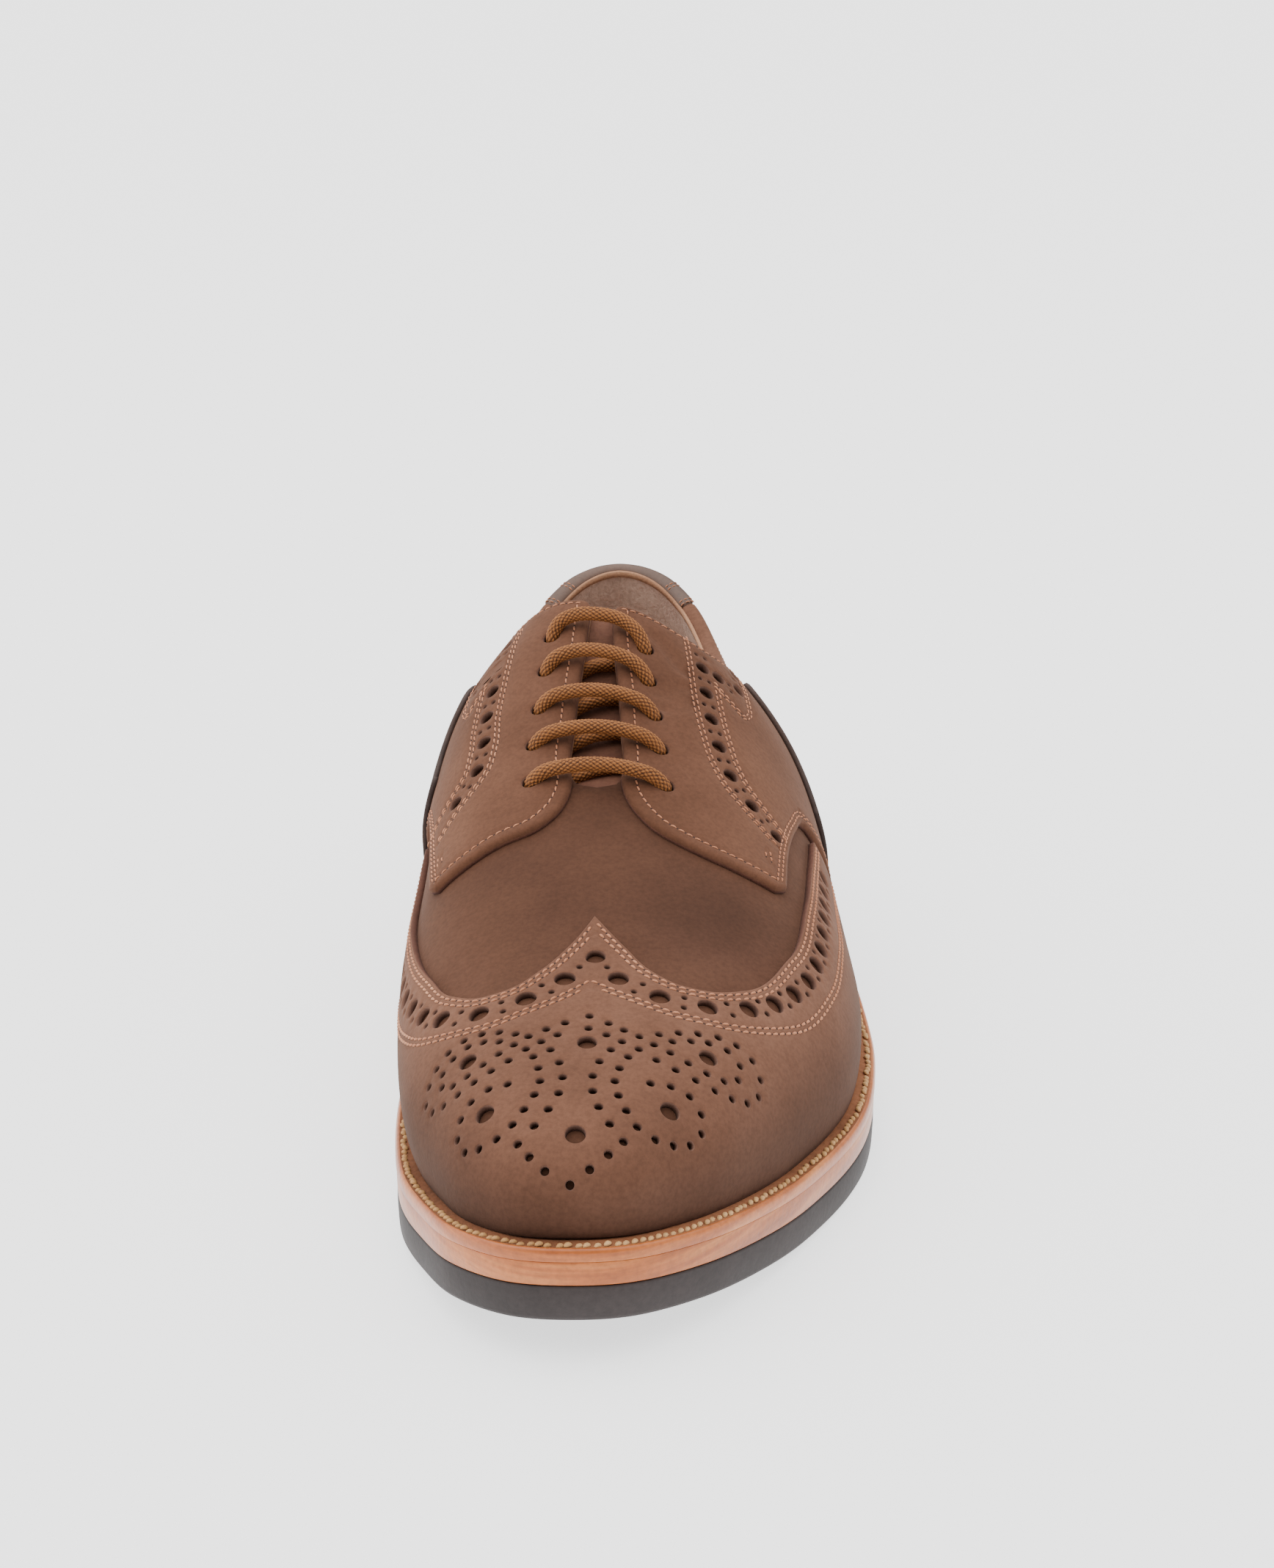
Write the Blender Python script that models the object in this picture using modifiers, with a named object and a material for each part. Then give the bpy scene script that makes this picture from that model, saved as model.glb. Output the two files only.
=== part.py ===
"""Full brogue derby, one left shoe: sole pack, hollow upper, overlays, tongue and lace.

Frame: metres, +Z up, floor at z = 0. The toe points to -Y, the heel to +Y and the lateral
(little toe) side is +X. The origin is under the middle of the shoe.
"""
from collections import namedtuple
import math

import bmesh
import bpy
import numpy as np
from mathutils import Vector
from mathutils.geometry import delaunay_2d_cdt

MM = 0.001
GAP = 0.35
# Middle of the finished shoe in the last's own drawing frame, moved to the origin
CENTRE_X = -0.8
CENTRE_Y = 2.3
OVERLAY_LIFT = 0.7

# Driving sizes in millimetres
WELT_THICKNESS = 4.2
MIDSOLE_THICKNESS = 5.6
OUTSOLE_THICKNESS = 8.0
LAYER_GAP = 0.3
SOLE_PACK = WELT_THICKNESS + MIDSOLE_THICKNESS + OUTSOLE_THICKNESS + 2 * LAYER_GAP
WELT_RIM = 9.0
CUT_MARGIN = 4.0
MIDSOLE_INSET = 0.4
OUTSOLE_INSET = 0.2
HEEL_INSET = 0.8
TOP_PIECE_THICKNESS = 6.0
HEEL_BREAST = 9.75
UPPER_WALL = 2.0
LINING_TRIM = 1.2
OVERLAY_WALL = 1.4
COUNTER_LIFT = OVERLAY_LIFT + OVERLAY_WALL + 0.7
COUNTER_WALL = 1.2
COUNTER_FOOT = 0.03
PANEL_PITCH = 8.0
PANEL_FOOT = 0.02
WALL_SCALE = 75.0
TONGUE_WALL = 2.2
TONGUE_HALF_WIDTH = 24.0
TONGUE_FIRST_ROW = 5.7
TONGUE_LAST_ROW = 9.1
TONGUE_DIP_ROW = 6.0
TONGUE_DIP_ROWS = 0.8
TONGUE_STEPS = 6
INSOLE_RISE = 2.5
LACE_DIAMETER = 3.6
LACE_CLEARANCE = 0.8
LACE_TAIL = 0.5
LACE_PITCH = 3.6
EYELET_DIAMETER = 6.4
EYELET_COUNT = 5
PIN_HALF_LENGTH = 6.0
BINDING_WIDTH = 5.2
BINDING_HEIGHT = 5.6
BINDING_LIFT = 0.9
BINDING_FIRST_ROW = 9.6
BINDING_PITCH = 0.22
BINDING_SIDES = 6
QUARTER_FIRST_ROW = 6.9
QUARTER_BACK_GAP = 0.02
MEDIAL = -1
LATERAL = 1
SIDES = (MEDIAL, LATERAL)

# One row per section of the last, from the toe tip round one side to the back of the heel.
# y, medial, lateral: edge of the sole. top_*: the ridge of the instep, then the cone over the
# ankle. The bulge and crown columns are the two handles of the wall's curve, in millimetres.
Section = namedtuple("Section", "y medial lateral top_y top_x top_half top_z "
                     "bulge_medial bulge_lateral bulge_up crown_medial crown_lateral crown_drop")
SECTIONS = (
    Section(-149.0, -15.0, -15.0, -90.0, -12.0, 0.0, 56.0, 3.0, 3.0, 17.0, 36.0, 36.0, 0.0),
    Section(-146.0, -29.0, -1.0, -89.0, -12.0, 0.0, 56.2, 4.0, 3.5, 17.0, 35.0, 36.0, 0.0),
    Section(-134.5, -41.0, 13.5, -86.0, -12.0, 0.0, 56.8, 5.0, 4.0, 18.0, 33.0, 36.0, 0.0),
    Section(-119.0, -48.5, 26.0, -80.0, -11.8, 0.0, 58.0, 7.0, 4.5, 19.0, 32.0, 37.0, 0.0),
    Section(-99.0, -55.0, 38.5, -70.0, -11.5, 0.0, 60.2, 9.0, 5.0, 21.0, 32.0, 38.0, 0.0),
    Section(-70.0, -58.0, 52.0, -52.0, -11.2, 0.0, 65.0, 12.0, 5.0, 24.0, 34.0, 40.0, 0.0),
    Section(-40.0, -57.5, 57.0, -30.0, -11.2, 0.0, 72.0, 15.0, 4.0, 27.0, 36.0, 38.0, 0.0),
    Section(-10.0, -53.5, 56.5, -6.0, -11.5, 0.0, 81.0, 19.0, 3.0, 29.0, 37.0, 36.0, 0.0),
    Section(20.0, -48.0, 52.5, 18.0, -11.3, 0.0, 91.5, 25.0, 6.0, 30.0, 37.0, 35.0, 0.0),
    Section(50.0, -43.0, 46.0, 42.0, -11.0, 1.0, 102.5, 24.0, 10.0, 30.0, 33.0, 30.0, 2.0),
    Section(80.0, -42.0, 38.5, 66.0, -9.5, 7.0, 112.0, 12.0, 6.0, 28.0, 15.0, 11.0, 12.0),
    Section(105.0, -42.0, 32.0, 92.0, -7.5, 15.0, 113.0, 6.0, 5.0, 24.0, 6.0, 6.0, 26.0),
    Section(127.0, -39.0, 26.5, 116.0, -6.8, 14.5, 113.5, 4.0, 4.0, 22.0, 4.0, 4.0, 30.0),
    Section(144.5, -28.0, 15.0, 133.0, -6.5, 9.0, 114.0, 4.0, 4.0, 20.0, 2.0, 2.0, 30.0),
    Section(152.0, -6.5, -6.5, 139.0, -6.5, 0.0, 114.0, 5.0, 5.0, 20.0, 2.0, 2.0, 30.0),
)
LAST_ROW = len(SECTIONS) - 1
FAN_ROW = 5.0
ANKLE_ROW = 9.5
ANKLE_ROWS = 2.0
TOE_SLOPE = 0.22
TOE_POLE_ROWS = 0.6
TOE_POLE_HEIGHT = 0.97

# Height of the welt's top along the shoe: toe spring, flat ball, arch and heel seat
WeltPoint = namedtuple("WeltPoint", "y z inset")
WELT = (
    WeltPoint(-152.0, 29.4, 6.0),
    WeltPoint(-130.0, 24.6, 6.0),
    WeltPoint(-110.0, 21.0, 6.0),
    WeltPoint(-90.0, 18.9, 6.0),
    WeltPoint(-66.0, SOLE_PACK, 6.0),
    WeltPoint(-45.0, SOLE_PACK, 5.8),
    WeltPoint(-24.0, SOLE_PACK, 5.5),
    WeltPoint(20.0, 23.0, 5.0),
    WeltPoint(50.0, 28.5, 4.2),
    WeltPoint(80.0, 32.5, 3.5),
    WeltPoint(110.0, 34.5, 3.5),
    WeltPoint(155.0, 35.5, 3.5),
)

# Top edge of the collar from the side, and half the gap between the lacing edges
TopLine = namedtuple("TopLine", "y z")
TOP_LINE = (
    TopLine(46.5, 118.0),
    TopLine(49.0, 107.0),
    TopLine(52.0, 98.0),
    TopLine(57.0, 90.0),
    TopLine(65.0, 83.5),
    TopLine(75.0, 79.0),
    TopLine(88.0, 76.0),
    TopLine(105.0, 77.0),
    TopLine(125.0, 82.0),
    TopLine(150.0, 88.5),
)
# The front of the top line stands further forward on the lateral side, and evens out behind
TOP_LINE_SKEW = 3.0
SKEW_END_Y = 95.0
SKEW_RUN = 40.0
COLLAR_FRONT_Y = 42.0
COLLAR_CORNER_ROWS = (8.95, 9.05, 9.12, 9.19, 9.26, 9.33, 9.4, 9.48, 9.58, 9.72, 9.9, 10.1)
Throat = namedtuple("Throat", "y half")
THROAT = (
    Throat(-17.0, 0.0),
    Throat(-16.0, 3.4),
    Throat(-13.0, 5.6),
    Throat(-5.0, 6.2),
    Throat(20.0, 4.9),
    Throat(40.0, 3.6),
    Throat(60.0, 3.0),
)

# Eyelets along each facing: the first from the toe, their pitch, and their way in from the lacing
# edge, which shrinks by the step from one to the next
EyeletLine = namedtuple("EyeletLine", "first_y pitch_y setback step")
EYELET_LINES = {
    MEDIAL: EyeletLine(-14.0, 12.4, 11.3, 0.4),
    LATERAL: EyeletLine(-15.0, 11.5, 12.0, 0.7),
}

# How far along a crossing the lace is, and the share of its full lift that it has there
Bend = namedtuple("Bend", "along lift")
LACE_BENDS = (
    Bend(0.02, 0.8), Bend(0.11, 1.0), Bend(0.3, 1.0), Bend(0.5, 1.0),
    Bend(0.7, 1.0), Bend(0.89, 1.0), Bend(0.98, 0.8),
)

# Overlay outlines on the last: row along the shoe and height up the wall, on each side
EdgePoint = namedtuple("EdgePoint", "medial_row medial lateral_row lateral")
WING_EDGE = (
    EdgePoint(4.50, 1.00, 4.50, 1.00),
    EdgePoint(4.05, 0.94, 4.05, 0.93),
    EdgePoint(3.70, 0.86, 3.72, 0.86),
    EdgePoint(3.62, 0.78, 3.70, 0.79),
    EdgePoint(3.80, 0.69, 3.85, 0.72),
    EdgePoint(4.25, 0.58, 4.25, 0.61),
    EdgePoint(4.80, 0.50, 5.00, 0.52),
    EdgePoint(6.00, 0.40, 6.20, 0.44),
    EdgePoint(7.72, 0.32, 7.72, 0.32),
)
WING_FOOT = EdgePoint(7.85, 0.02, 7.85, 0.02)
FLAP_EDGE = (
    EdgePoint(6.80, 0.945, 6.80, 0.945),
    EdgePoint(6.55, 0.935, 6.55, 0.935),
    EdgePoint(6.32, 0.907, 6.30, 0.907),
    EdgePoint(6.14, 0.85, 6.10, 0.865),
    EdgePoint(6.10, 0.76, 5.94, 0.77),
    EdgePoint(6.06, 0.65, 5.92, 0.66),
    EdgePoint(6.08, 0.53, 5.97, 0.56),
)
NOTCH_EDGE = (
    EdgePoint(6.20, 0.495, 6.10, 0.525),
    EdgePoint(6.90, 0.465, 6.90, 0.485),
    EdgePoint(7.40, 0.435, 7.40, 0.440),
    EdgePoint(7.72, 0.395, 7.72, 0.395),
    EdgePoint(7.85, 0.32, 7.85, 0.32),
    EdgePoint(7.95, 0.02, 7.95, 0.02),
)
COUNTER_EDGE = (
    EdgePoint(7.95, 0.33, 7.95, 0.33),
    EdgePoint(8.36, 0.45, 8.36, 0.45),
    EdgePoint(8.80, 0.51, 8.80, 0.51),
    EdgePoint(9.30, 0.51, 9.30, 0.51),
    EdgePoint(10.0, 0.45, 10.0, 0.45),
    EdgePoint(11.0, 0.40, 11.0, 0.40),
    EdgePoint(12.5, 0.42, 12.5, 0.42),
    EdgePoint(14.0, 0.48, 14.0, 0.48),
)


def column(table, name):
    """One named column of a table as an array."""
    return np.array([getattr(row, name) for row in table], float)


def smooth(knots, values, at):
    """Smooth cubic through the values at the knots, in as many dimensions as they have."""
    knots = np.asarray(knots, float)
    values = np.asarray(values, float)
    at = np.asarray(at, float)
    width = np.diff(knots)
    shape = (-1,) + (1,) * (values.ndim - 1)
    slope = np.diff(values, axis=0) / width.reshape(shape)
    before = width[:-1].reshape(shape)
    after = width[1:].reshape(shape)
    tangent = np.empty_like(values)
    tangent[1:-1] = (slope[:-1] * after + slope[1:] * before) / (before + after)
    tangent[0] = 1.5 * slope[0] - 0.5 * tangent[1]
    tangent[-1] = 1.5 * slope[-1] - 0.5 * tangent[-2]
    i = np.clip(np.searchsorted(knots, at, side="right") - 1, 0, len(knots) - 2)
    t = ((at - knots[i]) / width[i]).reshape(at.shape + (1,) * (values.ndim - 1))
    span = width[i].reshape(t.shape)
    return ((2 * t**3 - 3 * t**2 + 1) * values[i] + (t**3 - 2 * t**2 + t) * span * tangent[i]
            + (3 * t**2 - 2 * t**3) * values[i + 1] + (t**3 - t**2) * span * tangent[i + 1])


def both_ways(near, far, flip=False):
    """A column carried two rows past the toe and the heel, where the other side begins."""
    here = column(SECTIONS, near)
    there = -column(SECTIONS, far) if flip else column(SECTIONS, far)
    return np.concatenate([there[2:0:-1], here, there[-2:-4:-1]])


def section_table(side):
    """Columns x, y, top x, top y, top z, bulge, bulge up, crown, crown drop for one side."""
    name, other = ("medial", "lateral") if side == MEDIAL else ("lateral", "medial")
    top_x = both_ways("top_x", "top_x") + side * both_ways("top_half", "top_half", flip=True)
    return np.stack([
        both_ways(name, other),
        both_ways("y", "y"),
        top_x,
        both_ways("top_y", "top_y"),
        both_ways("top_z", "top_z"),
        both_ways("bulge_" + name, "bulge_" + other),
        both_ways("bulge_up", "bulge_up"),
        both_ways("crown_" + name, "crown_" + other),
        both_ways("crown_drop", "crown_drop"),
    ], axis=1)


TABLES = {side: section_table(side) for side in SIDES}
KNOTS = np.arange(-2, LAST_ROW + 3)


def station(row, side):
    return smooth(KNOTS, TABLES[side], row)


def welt_top(y):
    """Height of the welt's top: never lower than the sole pack that stands on the floor."""
    return np.maximum(SOLE_PACK, smooth(column(WELT, "y"), column(WELT, "z"), y))


def sole_edge(row, side, inset=0.0):
    """Point of the sole's outline, moved in by the inset, and the outward normal in plan."""
    row = np.asarray(row, float)
    step = 1e-3
    here = station(row, side)
    run = (station(row + step, side) - station(row - step, side))[..., :2]
    run /= np.linalg.norm(run, axis=-1, keepdims=True)
    normal = np.stack([run[..., 1], -run[..., 0]], -1) * side
    inset = np.broadcast_to(np.asarray(inset, float), row.shape)
    return here[..., :2] - normal * inset[..., None], normal, here


def ridge_slope(row):
    """Rise of the ridge for each step along the shoe."""
    step = 0.01
    rows = np.arange(LAST_ROW + 1)
    ahead = np.clip(row + step, 0, LAST_ROW)
    behind = np.clip(row - step, 0, LAST_ROW)
    ridge = np.stack([column(SECTIONS, "top_y"), column(SECTIONS, "top_z")], 1)
    change = smooth(rows, ridge, ahead) - smooth(rows, ridge, behind)
    return np.where(row < 0.05, TOE_SLOPE, change[..., 1] / np.maximum(change[..., 0], 1e-6))


def last_surface(row, height, side):
    """The last: a curved wall line from the welt (height 0) to the ridge or cone (height 1)."""
    row, height = np.broadcast_arrays(np.asarray(row, float), np.asarray(height, float))
    inset = smooth(column(WELT, "y"), column(WELT, "inset"), station(row, side)[..., 1])
    foot_xy, normal, here = sole_edge(row, side, inset)
    foot = np.concatenate([foot_xy, welt_top(here[..., 1])[..., None] + GAP], -1)
    top = here[..., 2:5]
    bulge = foot + np.concatenate([normal * here[..., 5:6], here[..., 6:7]], -1)
    turn = np.clip(row / FAN_ROW, 0, 1) * math.pi / 2
    across = np.stack([side * np.sin(turn), -np.cos(turn)], -1)
    blend = np.clip((row - ANKLE_ROW) / ANKLE_ROWS, 0, 1)
    blend = (blend * blend * (3 - 2 * blend))[..., None]
    aim = across * (1 - blend) + normal * blend
    fall = aim[..., 1] * here[..., 7] * ridge_slope(row) * (1 - blend[..., 0]) - here[..., 8]
    crown = top + np.concatenate([aim * here[..., 7:8], fall[..., None]], -1)
    h = height[..., None]
    return (1 - h)**3 * foot + 3 * (1 - h)**2 * h * bulge + 3 * (1 - h) * h**2 * crown + h**3 * top


def lifted(row, height, side, lift):
    """The last's surface moved out along its own normal."""
    row, height = np.broadcast_arrays(np.asarray(row, float), np.asarray(height, float))
    step = 2e-3
    below_pole = np.where(row < TOE_POLE_ROWS, np.minimum(height, TOE_POLE_HEIGHT), height)
    low = np.clip(below_pole - step, 0, 1)
    high = np.clip(below_pole + step, 0, 1)
    along = last_surface(row + step, below_pole, side) - last_surface(row - step, below_pole, side)
    up = last_surface(row, high, side) - last_surface(row, low, side)
    normal = np.cross(up, along) * -side
    normal /= np.maximum(np.linalg.norm(normal, axis=-1, keepdims=True), 1e-9)
    return last_surface(row, height, side) + normal * np.asarray(lift, float)[..., None]


def open_height(row, side, trim=0.0):
    """How far up the wall a piece goes at one row: to the ridge, the lacing edge or the top line.

    The trim holds it back from the lacing edge and the top line.
    """
    heights = np.linspace(0.0, 1.0, 401)
    points = last_surface(np.full(heights.shape, row), heights, side)
    y = points[:, 1]
    ridge_x = smooth(column(SECTIONS, "top_y"), column(SECTIONS, "top_x"), y)
    half = np.where(y < THROAT[0].y, 0.0, smooth(column(THROAT, "y"), column(THROAT, "half"), y))
    inside_throat = (y > THROAT[0].y) & (np.abs(points[:, 0] - ridge_x) < half + trim)
    skew = side * TOP_LINE_SKEW * np.clip((SKEW_END_Y - y) / SKEW_RUN, 0, 1)
    collar_z = smooth(column(TOP_LINE, "y"), column(TOP_LINE, "z"), y + skew + trim) - trim / 2
    above_collar = (y > COLLAR_FRONT_Y) & (points[:, 2] > collar_z)
    stop = np.nonzero(inside_throat | above_collar)[0]
    return heights[stop[0] - 1] if len(stop) else 1.0


def row_marks(first, last, pitch=0.3):
    """Rows of a grid, closer together at the front corner of the collar."""
    marks = np.linspace(first, last, round((last - first) / pitch) + 1)
    outside = marks[(marks < COLLAR_CORNER_ROWS[0]) | (marks > COLLAR_CORNER_ROWS[-1])]
    return np.sort(np.concatenate([outside, COLLAR_CORNER_ROWS]))


def material(name, colour, roughness):
    shade = bpy.data.materials.new(name)
    shade.use_nodes = True
    surface = shade.node_tree.nodes["Principled BSDF"]
    surface.inputs["Base Color"].default_value = (*colour, 1.0)
    surface.inputs["Roughness"].default_value = roughness
    return shade


def add_object(name, mesh, shade, group):
    piece = bpy.data.objects.new(name, mesh)
    mesh.materials.append(shade)
    group.objects.link(piece)
    mesh.shade_smooth()
    mesh.set_sharp_from_angle(angle=math.radians(40))
    return piece


def grid_mesh(name, grids):
    """One sheet from grids of points in millimetres, welded where they share an edge."""
    bm = bmesh.new()
    for points, flip in grids:
        rows = [[bm.verts.new(Vector(point) * MM) for point in line] for line in points]
        for a, b in zip(rows, rows[1:]):
            for i in range(len(a) - 1):
                corners = (a[i], a[i + 1], b[i + 1], b[i])
                bm.faces.new(corners[::-1] if flip else corners)
    bmesh.ops.remove_doubles(bm, verts=bm.verts, dist=0.02 * MM)
    bmesh.ops.dissolve_degenerate(bm, edges=bm.edges, dist=0.01 * MM)
    mesh = bpy.data.meshes.new(name)
    bm.to_mesh(mesh)
    bm.free()
    return mesh


def wall_grid(rows, low, high, side, lift, steps):
    """Wall lines from height low to height high at each row, as a grid of points."""
    lines = []
    for row, bottom, top in zip(rows, low, high):
        heights = np.linspace(bottom, top, steps + 1)
        lines.append(lifted(np.full(heights.shape, row), heights, side, np.full(heights.shape, lift)))
    return lines


def solidify(piece, thickness, outward):
    """Give a sheet its wall, on its outer or inner side."""
    wall = piece.modifiers.new("wall", "SOLIDIFY")
    wall.thickness = thickness * MM
    wall.offset = 1.0 if outward else -1.0
    wall.use_even_offset = True
    return wall


def cut(piece, cutter, operation="DIFFERENCE"):
    boolean = piece.modifiers.new(cutter.name, "BOOLEAN")
    boolean.operation = operation
    boolean.object = cutter
    boolean.solver = "EXACT"


def plate(name, shade, group, inset, top, thickness, first_row=0.0):
    """A sole layer: ribs from the medial to the lateral edge, with its own top height."""
    rows = np.linspace(first_row, LAST_ROW, round((LAST_ROW - first_row) / 0.3) + 1)
    rings = []
    for row in rows:
        medial = sole_edge(np.array(row), MEDIAL, np.array(inset))[0]
        lateral = sole_edge(np.array(row), LATERAL, np.array(inset))[0]
        z_medial = top(medial[1])
        z_lateral = top(lateral[1])
        drop_medial = thickness(medial[1], z_medial)
        drop_lateral = thickness(lateral[1], z_lateral)
        rings.append([
            (*medial, z_medial), (*lateral, z_lateral),
            (*lateral, z_lateral - drop_lateral), (*medial, z_medial - drop_medial),
        ])
    bm = bmesh.new()
    loops = [[bm.verts.new(Vector(map(float, point)) * MM) for point in ring] for ring in rings]
    for a, b in zip(loops, loops[1:]):
        for i in range(4):
            j = (i + 1) % 4
            bm.faces.new((a[i], a[j], b[j], b[i]))
    bm.faces.new(loops[0])
    bm.faces.new(loops[-1][::-1])
    bmesh.ops.remove_doubles(bm, verts=bm.verts, dist=0.02 * MM)
    bmesh.ops.recalc_face_normals(bm, faces=bm.faces)
    mesh = bpy.data.meshes.new(name)
    bm.to_mesh(mesh)
    bm.free()
    return add_object(name, mesh, shade, group)


def even(thickness):
    return lambda y, z: thickness


def below_welt(depth):
    return lambda y: welt_top(y) - depth


def make_sole(group, cutters):
    """Welt ring, midsole, outsole, heel and top piece, stacked from the welt down."""
    tan = material("tan_welt_leather", (0.50, 0.25, 0.15), 0.55)
    rubber = material("dark_rubber", (0.10, 0.08, 0.075), 0.75)
    welt = plate("welt", tan, group, 0.0, below_welt(0.0), even(WELT_THICKNESS))
    core = plate("welt_inside", tan, cutters, WELT_RIM, below_welt(-CUT_MARGIN),
                 even(WELT_THICKNESS + 2 * CUT_MARGIN))
    cut(welt, core)
    midsole_top = WELT_THICKNESS + LAYER_GAP
    plate("midsole", tan, group, MIDSOLE_INSET, below_welt(midsole_top), even(MIDSOLE_THICKNESS))
    outsole_top = midsole_top + MIDSOLE_THICKNESS + LAYER_GAP
    plate("outsole", rubber, group, OUTSOLE_INSET, below_welt(outsole_top), even(OUTSOLE_THICKNESS))
    seat = outsole_top + OUTSOLE_THICKNESS + LAYER_GAP
    lift_top = TOP_PIECE_THICKNESS + LAYER_GAP
    plate("heel", rubber, group, HEEL_INSET, below_welt(seat), lambda y, z: z - lift_top, HEEL_BREAST)
    plate("heel_top_piece", rubber, group, HEEL_INSET, lambda y: TOP_PIECE_THICKNESS,
          even(TOP_PIECE_THICKNESS), HEEL_BREAST)


def make_insole(group):
    """The footbed: it fills the welt ring and stands a little above it."""
    depth = WELT_THICKNESS
    suede = material("insole_leather", (0.30, 0.20, 0.14), 0.8)
    plate("insole", suede, group, WELT_RIM + GAP, below_welt(-INSOLE_RISE), even(depth + INSOLE_RISE))


def eyelet_places():
    """Row, height and side of each eyelet, from the bottom pair up."""
    places = []
    for index in range(EYELET_COUNT):
        pair = {}
        for side in SIDES:
            line = EYELET_LINES[side]
            y = line.first_y + index * line.pitch_y
            half = float(smooth(column(THROAT, "y"), column(THROAT, "half"), y))
            ridge_x = float(smooth(column(SECTIONS, "top_y"), column(SECTIONS, "top_x"), y))
            away = half + line.setback - index * line.step
            pair[side] = find_place(np.array([ridge_x + side * away, y]), side)
        places.append(pair)
    return places


def find_place(target, side):
    """Row and height where the wall passes over a point of the plan, by a shrinking search."""
    row = 7.5
    height = 0.8
    for _ in range(60):
        here = last_surface(row, height, side)[:2]
        step = 1e-3
        by_row = (last_surface(row + step, height, side)[:2] - here) / step
        by_height = (last_surface(row, height + step, side)[:2] - here) / step
        move = np.linalg.solve(np.stack([by_row, by_height], 1), target - here)
        row += 0.5 * float(move[0])
        height = min(0.99, height + 0.5 * float(move[1]))
    return row, height


def make_eyelet_cutters(cutters, places):
    """Pins that punch the eyelets through the upper and the quarters."""
    pins = {}
    shade = material("cutter", (0.5, 0.5, 0.5), 0.5)
    for side in SIDES:
        bm = bmesh.new()
        for pair in places:
            row, height = pair[side]
            low = Vector(lifted(row, height, side, -PIN_HALF_LENGTH))
            high = Vector(lifted(row, height, side, PIN_HALF_LENGTH))
            matrix = (high - low).to_track_quat("Z", "Y").to_matrix().to_4x4()
            matrix.translation = (low + high) * 0.5 * MM
            radius = EYELET_DIAMETER / 2 * MM
            bmesh.ops.create_cone(bm, cap_ends=True, segments=12, radius1=radius, radius2=radius,
                                  depth=2 * PIN_HALF_LENGTH * MM, matrix=matrix)
        mesh = bpy.data.meshes.new("eyelet_pins")
        bm.to_mesh(mesh)
        bm.free()
        name = "eyelet_pins_medial" if side == MEDIAL else "eyelet_pins_lateral"
        pins[side] = add_object(name, mesh, shade, cutters)
    return pins


def make_upper(group, pins, leather):
    """The hollow upper: one wall on the last, open underneath, at the throat and at the collar."""
    rows = row_marks(0.0, LAST_ROW)
    grids = []
    for side in SIDES:
        high = [open_height(row, side, LINING_TRIM) for row in rows]
        grids.append((wall_grid(rows, np.zeros(len(rows)), high, side, 0.0, 7), side == LATERAL))
    upper = add_object("upper", grid_mesh("upper", grids), leather, group)
    solidify(upper, UPPER_WALL, outward=False)
    for side in SIDES:
        cut(upper, pins[side])
    return upper


def row_distance(row):
    """Length along the sole's edge from the toe tip to a row, a measure for laying out panels."""
    marks = np.linspace(0, LAST_ROW, 281)
    edge = sole_edge(marks, LATERAL)[0]
    length = np.concatenate([[0.0], np.cumsum(np.linalg.norm(np.diff(edge, axis=0), axis=1))])
    return np.interp(row, marks, length)


def distance_row(distance):
    marks = np.linspace(0, LAST_ROW, 281)
    return np.interp(distance, row_distance(marks), marks)


def edge_curve(table, side, pitch=PANEL_PITCH):
    """A smooth outline through a table's points, flat: signed distance along, height up the wall."""
    name = "medial" if side == MEDIAL else "lateral"
    flat = np.stack([row_distance(column(table, name + "_row")) * side,
                     column(table, name) * WALL_SCALE], 1)
    knots = np.concatenate([[0.0], np.cumsum(np.linalg.norm(np.diff(flat, axis=0), axis=1))])
    return smooth(knots, flat, np.linspace(0.0, knots[-1], max(2, round(knots[-1] / pitch) + 1)))


def straight(start, end, pitch=PANEL_PITCH):
    """Evenly spaced points from one flat point to another, without the two ends."""
    count = max(1, round(float(np.linalg.norm(np.subtract(end, start))) / pitch))
    return np.linspace(start, end, count + 1)[1:-1]


def inside(points, outline):
    """Which flat points lie inside a closed outline."""
    result = np.zeros(len(points), bool)
    for (x0, y0), (x1, y1) in zip(outline, np.roll(outline, -1, axis=0)):
        crosses = (y0 > points[:, 1]) != (y1 > points[:, 1])
        rise = y1 - y0 if y1 != y0 else 1e-9
        result ^= crosses & (points[:, 0] < (x1 - x0) * (points[:, 1] - y0) / rise + x0)
    return result


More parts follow.
